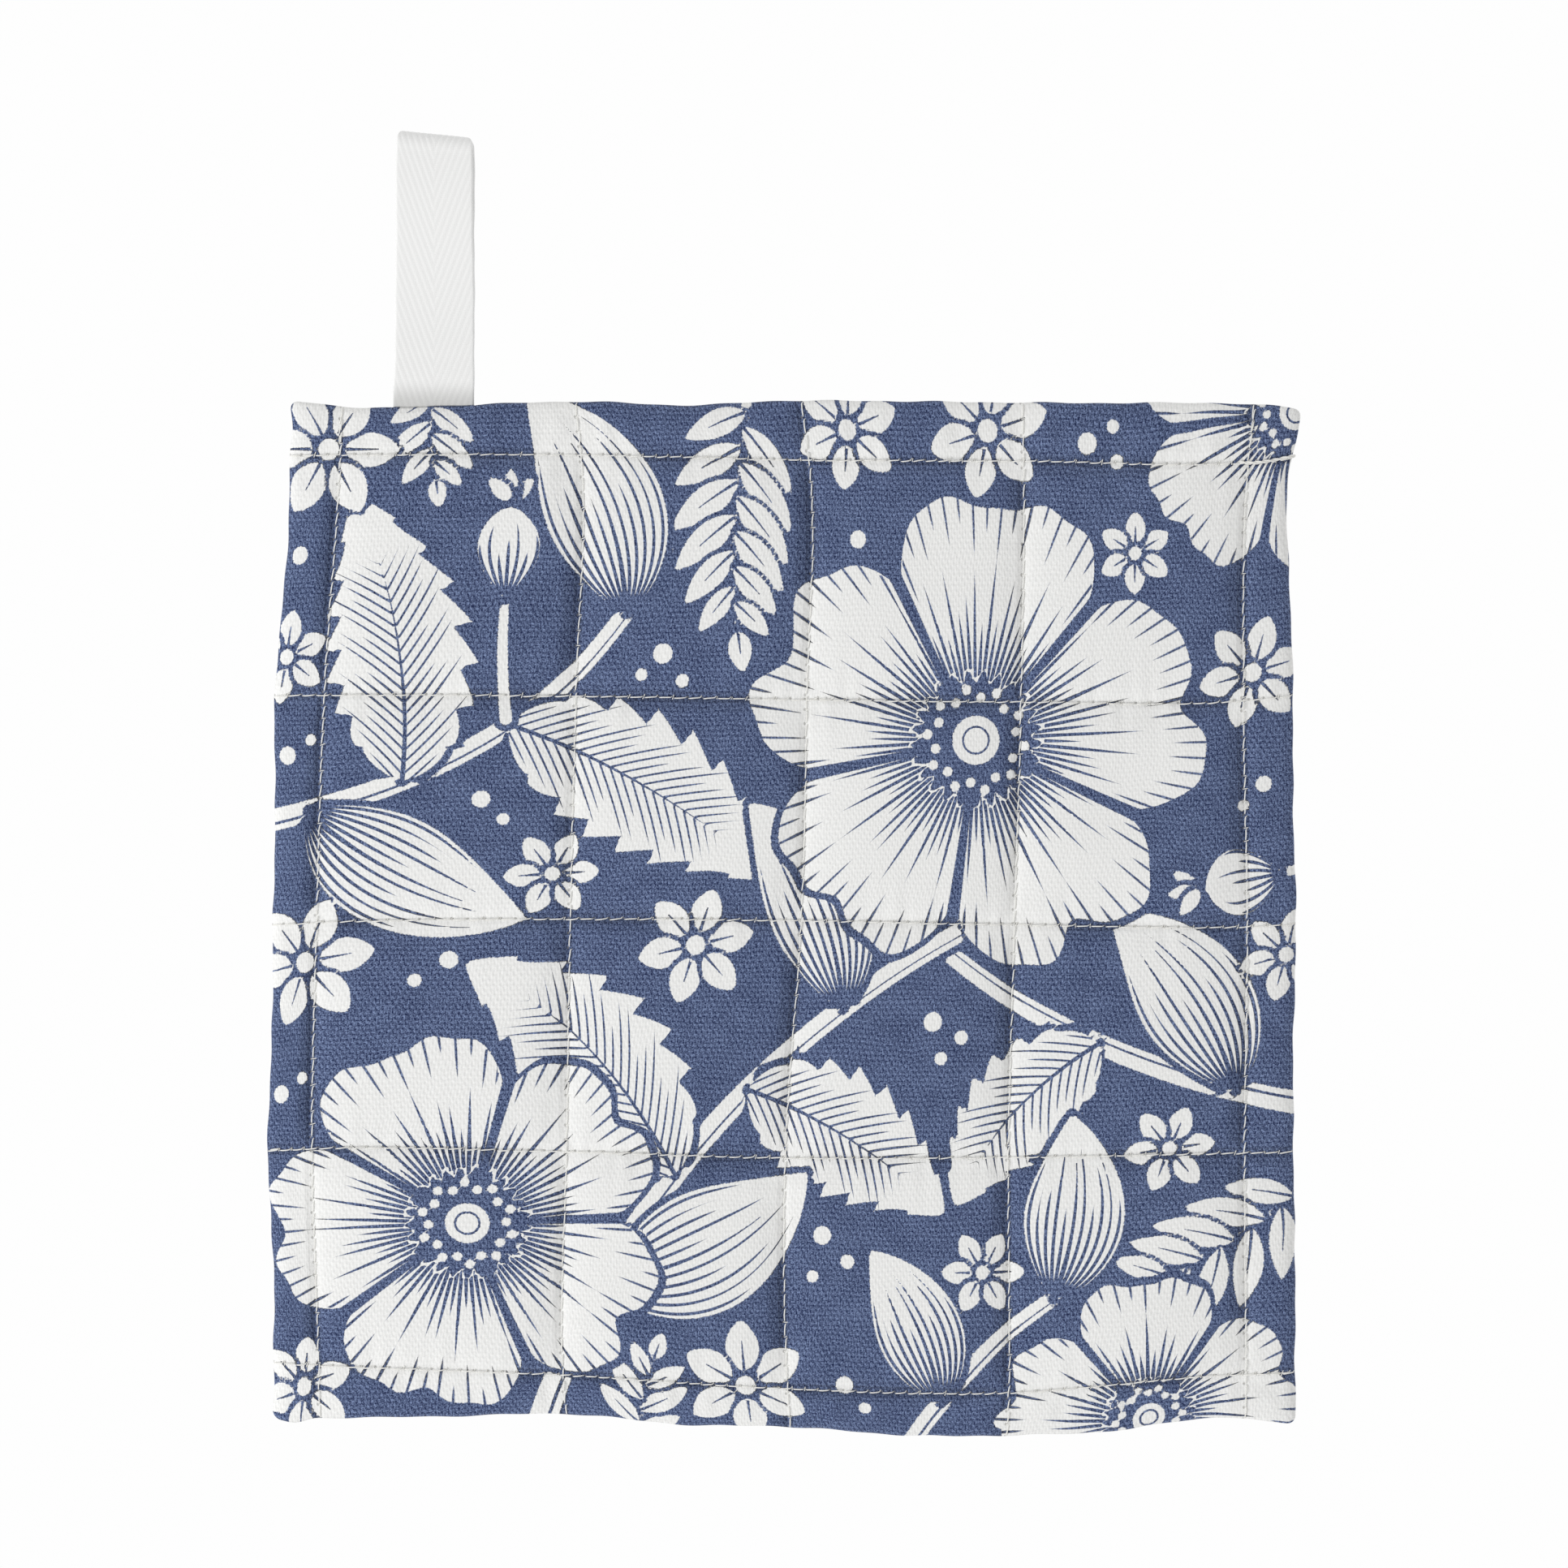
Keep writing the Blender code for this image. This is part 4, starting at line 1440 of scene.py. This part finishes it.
@dataclass
class Stitching:
    """Lockstitches along the ten seams, on one side of the pad.

    A stitch is a thread from hole to hole. It rises between them, lies a little askew and hooks
    sideways at its end, where the next stitch locks it. At some holes the thread from the other
    side shows as a short barb across the seam.
    """

    pad: QuiltedPad
    name: str
    surface: Callable[[Array, Array, float], Array]
    radius: float = 0.13
    lift: float = 0.21
    sink: float = 0.12
    askew: float = 0.11
    hook: float = 0.34
    sag: float = 0.08
    barb_share: float = 0.45
    barb_radius: float = 0.65
    end_taper: float = 0.45
    lowest: float = 1.2
    steps: int = 9
    sides: int = 6
    seed: int = 3

    # how far the threads lie beside a seam
    BESIDE = {"along": 0.36, "across": -0.18}
    # direction, seam, from, to, sideways, share of the stitch length: sewn over a second time
    BACK_TACKS = (
        ("across", 45.0, 1.0, 6.4, 0.28, 0.6),
        ("across", 90.0, -99.4, -94.0, -0.22, 0.8),
        ("along", 90.0, 93.0, 99.4, 0.22, 0.8),
        ("along", -90.0, 92.0, 99.4, -0.22, 0.8),
        ("across", -45.0, -99.4, -95.0, 0.2, 0.8),
        ("across", -90.0, 95.0, 99.4, 0.2, 0.8),
    )

    def lay(self, direction: str, aside: Array, forth: Array, share: Array) -> Array:
        """Thread paths on the cloth.

        Args:
            direction: "along" for a lengthwise seam and "across" for a crosswise one.
            aside: Places across the seam.
            forth: Places along it.
            share: How far each point of a thread is lifted, 1 being on top of the cloth.

        Returns:
            Points in millimetres, one row for each thread.
        """
        a, b = (aside, forth) if direction == "along" else (forth, aside)
        level = self.surface(a, b, 0.0)
        raised = self.surface(a, b, self.lift)
        paths = level + (raised - level) * share[..., None]
        paths[..., 2] = np.maximum(paths[..., 2], self.lowest * self.radius)
        return paths

    def row(self, direction: str, seam: float, start: Array, length: float, sideways: float,
            rng: np.random.Generator) -> Array:
        """The stitches of one row, each slanting up to the right.

        Args:
            direction: "along" or "across", as in lay.
            seam: The seam's place on the flat cloth.
            start: Where each stitch starts along it.
            length: The stitches' length.
            sideways: How far they lie beside the seam.
            rng: The source of their unevenness.

        Returns:
            Their paths.
        """
        t = np.linspace(0.0, 1.0, self.steps)[None, :]
        each = (len(start), 1)
        slant = self.askew * rng.uniform(0.2, 1.7, each)
        hook = self.hook * rng.uniform(0.1, 1.2, each) * ease((t - 0.86) / 0.14)
        sag = self.sag * np.sin(np.pi * t) * rng.uniform(-0.6, 1.4, each)
        aside = seam + self.BESIDE[direction] + sideways + slant * (2 * t - 1) + hook - sag
        forth = start[:, None] + length * (0.05 + 0.90 * t)
        under = self.sink / self.lift
        return self.lay(direction, aside, forth, np.sin(np.pi * t) ** 0.3 * (1 + under) - under)

    def barbs(self, direction: str, seam: float, holes: Array,
              rng: np.random.Generator) -> Array:
        """The short barbs across a seam at some of its holes.

        Args:
            direction: "along" or "across", as in lay.
            seam: The seam's place on the flat cloth.
            holes: Where its holes are along it.
            rng: The source of their unevenness.

        Returns:
            Their paths.
        """
        chosen = holes[rng.random(len(holes)) < self.barb_share]
        t = np.linspace(-1.0, 1.0, self.steps)[None, :]
        reach = rng.uniform(0.25, 0.6, (len(chosen), 1))
        lean = rng.uniform(0.0, 0.5, (len(chosen), 1))
        aside = seam + self.BESIDE[direction] + 0.1 + t * reach
        forth = chosen[:, None] + t * reach * lean
        return self.lay(direction, aside, forth, 0.5 - 0.7 * t ** 4)

    def build(self) -> bpy.types.Object:
        """All stitches as one mesh of closed threads.

        Returns:
            The stitches, with the barbs in finer thread.
        """
        rng = np.random.default_rng(self.seed)
        stitch = Stitch()
        rows, barbs = [], []
        for direction in ("along", "across"):
            for seam in self.pad.seams[1:-1]:
                length = stitch.length_on(seam)
                holes = stitch.first + length * np.arange(round(200.0 / length))
                rows.append(self.row(direction, seam, holes, length, 0.0, rng))
                barbs.append(self.barbs(direction, seam, holes[1:], rng))
        for direction, seam, start, stop, sideways, share in self.BACK_TACKS:
            length = stitch.length_on(seam) * share
            again = np.arange(start, stop - length, length)
            rows.append(self.row(direction, seam, again, length, sideways, rng))
        ends = np.abs(np.linspace(-1.0, 1.0, self.steps))
        radii = self.radius * (1 - self.end_taper * ease((ends - 0.7) / 0.3))
        points, faces = tubes(np.concatenate(rows), radii, self.sides)
        more, more_faces = tubes(np.concatenate(barbs), self.barb_radius * radii, self.sides)
        faces += [f + len(points) for f in more_faces]
        points = np.concatenate([points, more])
        return make_mesh(self.name, points, faces, [ThreadFinish().build()])


@dataclass
class ThreadEnds:
    """The two thread ends that the top seam leaves at the right edge, twisted together.

    Their shared path follows the seam and ends just past the outline. Each strand goes round
    the path in a helix.
    """

    pad: QuiltedPad
    radius: float = 0.19
    apart: float = 0.17
    twist_pitch: float = 3.4
    steps: int = 64
    sides: int = 8

    # place on the flat cloth, then height above it
    PATH = ((88.6, 89.95, 0.30), (91.0, 89.7, 0.42), (94.0, 89.7, 0.42), (97.0, 89.95, 0.42),
            (99.0, 90.2, 0.55))
    # how far past the last point, right, up and in height
    PAST_EDGE = ((0.8, 0.15, -0.35), (1.4, 0.3, -0.9))

    def build(self) -> bpy.types.Object:
        """The strands as closed threads on smooth curves through the path's points.

        Returns:
            Both strands as one mesh.
        """
        a, b, lift = (np.array(column) for column in zip(*self.PATH))
        x, y = self.pad.plan(a, b)
        points = np.stack([x, y, self.pad.front_height(a, b) + lift], axis=1)
        points = np.concatenate([points, points[-1] + np.array(self.PAST_EDGE)])
        at = np.linspace(0, len(points) - 1, self.steps)
        knots = np.arange(len(points), dtype=float)
        path = np.stack([smooth_through(knots, points[:, k], at) for k in range(3)], axis=1)
        turn = TURN * (path[:, 0] - path[0, 0]) / self.twist_pitch
        round_it = np.stack([0 * turn, np.cos(turn), np.sin(turn)], axis=1) * self.apart
        strands = np.stack([path + round_it, path - round_it])
        points, faces = tubes(strands, np.full(self.steps, self.radius), self.sides)
        return make_mesh("loose_thread_ends", points, faces, [ThreadFinish().build()])


@dataclass
class TapeLoop:
    """The hanging loop: twill tape that runs out on the floor, round its fold and back.

    The fold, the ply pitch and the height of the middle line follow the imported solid, whose tape
    is a little thicker than this one.
    """

    pad: QuiltedPad
    width: float = 14.95
    widening: float = 0.75
    thick: float = 0.86
    middle: float = -68.34
    lean: float = 0.32
    root: float = 100.2
    reach: float = 52.9
    in_seam: float = 2.8
    skew: float = 0.0135
    shift: float = 0.14
    corner: float = 1.5
    corner_cut: float = 0.6
    ply_pitch: float = 1.3
    fold_radius: float = 2.9
    solid_thick: float = 1.0
    fall: float = 10.0
    eye_start: float = 12.0
    rib: float = 1.2
    steepness: float = 2.7
    rib_height: float = 0.06
    selvedge: float = 0.9
    edge_round: float = 0.35
    ripple: float = 0.10
    run_steps: int = 150
    fold_steps: int = 28
    width_steps: int = 96
    length: float = field(init=False)

    def line(self) -> tuple[Array, Array]:
        """The tape's middle line, seen from the side.

        It falls from the edge seam to the floor, and runs back over itself, parting into the eye.

        Returns:
            The distance from the edge seam, and the height.
        """
        fold_from = self.reach - self.fold_radius - self.solid_thick / 2
        base = self.solid_thick / 2
        out = np.linspace(-self.in_seam, fold_from, self.run_steps + 1)
        drop = 1 - ease(out / self.fall)
        lower = base + (self.pad.edge_seam_z - self.ply_pitch / 2 - base) * drop
        parting = ease((out - self.eye_start) / (fold_from - self.eye_start))
        upper = lower + self.ply_pitch + (2 * self.fold_radius - self.ply_pitch) * parting
        ripple = self.ripple * np.sin(out / 5.1) * ease(out / 8) * ease((fold_from - out) / 8)
        turn = np.linspace(0, np.pi, self.fold_steps + 1)[1:-1]
        fold_out = fold_from + self.fold_radius * np.sin(turn)
        fold_up = base + self.fold_radius * (1 - np.cos(turn))
        return (np.concatenate([out, fold_out, out[::-1]]),
                np.concatenate([lower, fold_up, (upper + ripple)[::-1]]))

    def section(self, along: Array) -> tuple[Array, Array, Array]:
        """The tape's section, with the herringbone ribs raised on both faces.

        Round it, the top face runs from the left to the right, then the bottom face back. A rib
        runs between whole numbers of (|across| + along / steepness) / rib, as a raised cosine.

        Args:
            along: The length run at each section, as one column.

        Returns:
            For each point round a section, its side from -1 to 1 and its place across the tape,
            and for each section and point the distance off the tape's middle.
        """
        share = np.linspace(-1.0, 1.0, self.width_steps + 1)
        side = np.concatenate([share, share[::-1]])[None, :]
        face = np.repeat([1.0, -1.0], self.width_steps + 1)[None, :]
        half = self.width / 2
        across = side * half
        rib = (np.abs(across) + along / self.steepness) / self.rib
        ridge = (0.5 - 0.5 * np.cos(TURN * rib)) * ease((half - np.abs(across)) / self.selvedge)
        in_edge = (np.abs(across) - half + self.edge_round) / self.edge_round
        edge = np.where(in_edge > 0, np.sqrt(np.clip(1 - in_edge ** 2, 0.02, 1.0)), 1.0)
        body = (self.thick - self.rib_height) / 2
        return side, across, face * (body * edge + self.rib_height * ridge)

    def sideways(self, out: Array, up: Array, along: Array, side: Array) -> Array:
        """How far the tape's points move to the right.

        The tape leans, widens towards the edge seam, has its lower run a little to the right and
        rounded corners at the fold, and its edges waver.

        Args:
            out: The distance from the edge seam, as one column.
            up: The height, as one column.
            along: The length run, as one column.
            side: The side of each point round a section, from -1 to 1.

        Returns:
            The shift of each point.
        """
        share = ease(out / self.reach)
        lower = 1 - ease((up - self.solid_thick / 2) / (2 * self.fold_radius))
        middle = self.middle + self.lean * out / self.reach + self.shift * lower * share
        spread = self.widening / 2 * side * (1 - share)
        corner_from = self.reach - self.solid_thick / 2 - self.corner
        near_fold = np.clip((out - corner_from) / self.corner, 0, 1)
        cut = self.corner_cut * self.corner * (1 - np.sqrt(1 - near_fold ** 2))
        waver = 0.05 * np.sin(along / 3.3) + 0.04 * np.sin(along / 1.3 + 1)
        return middle + spread - cut * side ** 3 + waver * np.sign(side) * side ** 8

    def build(self) -> bpy.types.Object:
        """The tape as one closed mesh along its middle line.

        Returns:
            The tape, whose map has the width, from minus half to half, and the length.
        """
        out, up = self.line()
        along = np.concatenate([[0.0], np.cumsum(np.hypot(np.diff(out), np.diff(up)))])
        self.length = float(along[-1])
        heading = np.stack([np.gradient(out, along), np.gradient(up, along)])
        ahead, rising = (heading / np.linalg.norm(heading, axis=0))[..., None]
        out, up, along = out[:, None], up[:, None], along[:, None]
        side, across, off = self.section(along)
        x = self.sideways(out, up, along, side) + across + self.pad.centre[0]
        y = out * (1 - self.skew * side) + rising * off + self.root + self.pad.centre[1]
        z = np.maximum(up - ahead * off, 0.0)
        flat = np.stack(np.broadcast_arrays(across, along), axis=-1)
        rows, columns = z.shape
        end = np.arange(columns)[None, :]
        faces = [grid_faces(rows, columns, wrap=True)[:, ::-1], end,
                 (end + (rows - 1) * columns)[:, ::-1]]
        points = np.stack([x, y, z], axis=-1).reshape(-1, 3)
        twill = TwillFinish(self.length, self.in_seam, self.rib, self.steepness).build()
        return make_mesh("folded_twill_tape", points, faces, [twill], flat.reshape(-1, 2))


@dataclass
class Studio:
    """A pale floor, soft light from the left and a camera straight above."""

    target: Point = (0.16, 0.09)
    view_width: float = 306.2
    camera_height: float = 1400.0
    pad_plane: float = 5.0
    sensor: float = 36.0
    floor_half: float = 4000.0
    floor_z: float = -0.1
    sky: float = 0.655
    key_place: tuple[float, float, float] = (-1150.0, -420.0, 1080.0)
    key_size: float = 900.0
    key_power: float = 12.3
    clip_end: float = 20000.0
    white: tuple[float, float, float, float] = (1.0, 1.0, 1.0, 1.0)

    def camera(self) -> None:
        """Puts the camera over the picture's middle, with its upper side towards +Y."""
        data = bpy.data.cameras.new("overhead")
        data.sensor_width = self.sensor
        data.lens = self.sensor * (self.camera_height - self.pad_plane) / self.view_width
        data.clip_end = self.clip_end * MM
        made = bpy.data.objects.new("overhead", data)
        made.location = (self.target[0] * MM, self.target[1] * MM, self.camera_height * MM)
        bpy.context.scene.collection.objects.link(made)
        bpy.context.scene.camera = made

    def floor(self) -> None:
        """The floor, just under the pad."""
        corners = np.array([(-1, -1), (1, -1), (1, 1), (-1, 1)]) * self.floor_half
        points = np.column_stack([corners, np.full(4, self.floor_z)])
        make_mesh("floor", points, [np.arange(4)[None, :]], [FloorFinish().build()])

    def lights(self) -> None:
        """An even white sky and a broad key light from the left."""
        world = bpy.data.worlds.new("even_sky")
        world.use_nodes = True
        sky = world.node_tree.nodes["Background"]
        sky.inputs["Color"].default_value = self.white
        sky.inputs["Strength"].default_value = self.sky
        bpy.context.scene.world = world
        data = bpy.data.lights.new("key", "AREA")
        data.shape = "DISK"
        data.size = self.key_size * MM
        data.energy = self.key_power
        made = bpy.data.objects.new("key", data)
        place = np.array(self.key_place)
        made.location = place * MM
        heading = math.atan2(place[1], place[0])
        tilt = math.atan2(math.hypot(place[0], place[1]), place[2])
        made.rotation_euler = (0.0, tilt, heading)
        bpy.context.scene.collection.objects.link(made)

    def colours(self) -> None:
        """Colours as they are, with no film curve."""
        bpy.context.scene.view_settings.view_transform = "Standard"

    def build(self) -> None:
        """The whole studio."""
        self.camera()
        self.floor()
        self.lights()
        self.colours()


def settle(piece: bpy.types.Object, replaced: str | None = None) -> None:
    """Puts a finished piece on its body and reports it.

    Args:
        piece: The piece.
        replaced: The node that it stands for, where there is one.
    """
    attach(piece, BODY)
    if replaced:
        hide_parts(replaced)
    log.info("%s: %d faces", piece.name, len(piece.data.polygons))


def main() -> None:
    """Builds the studio and the pieces, and says what each one rides on and stands for."""
    logging.basicConfig(level=logging.INFO, format="%(name)s: %(message)s")
    Studio().build()
    quilted = QuiltedPad()
    pad = quilted.build()
    settle(pad, "quilted_pad")
    loop = TapeLoop(quilted)
    tape = loop.build()
    settle(tape, "hanging_loop")
    front = Stitching(quilted, "front_stitches", quilted.on_front, seed=3)
    back = Stitching(quilted, "back_stitches", quilted.on_back, seed=4)
    for sewn in (front, back, ThreadEnds(quilted)):
        settle(sewn.build())


if __name__ == "__main__":
    main()
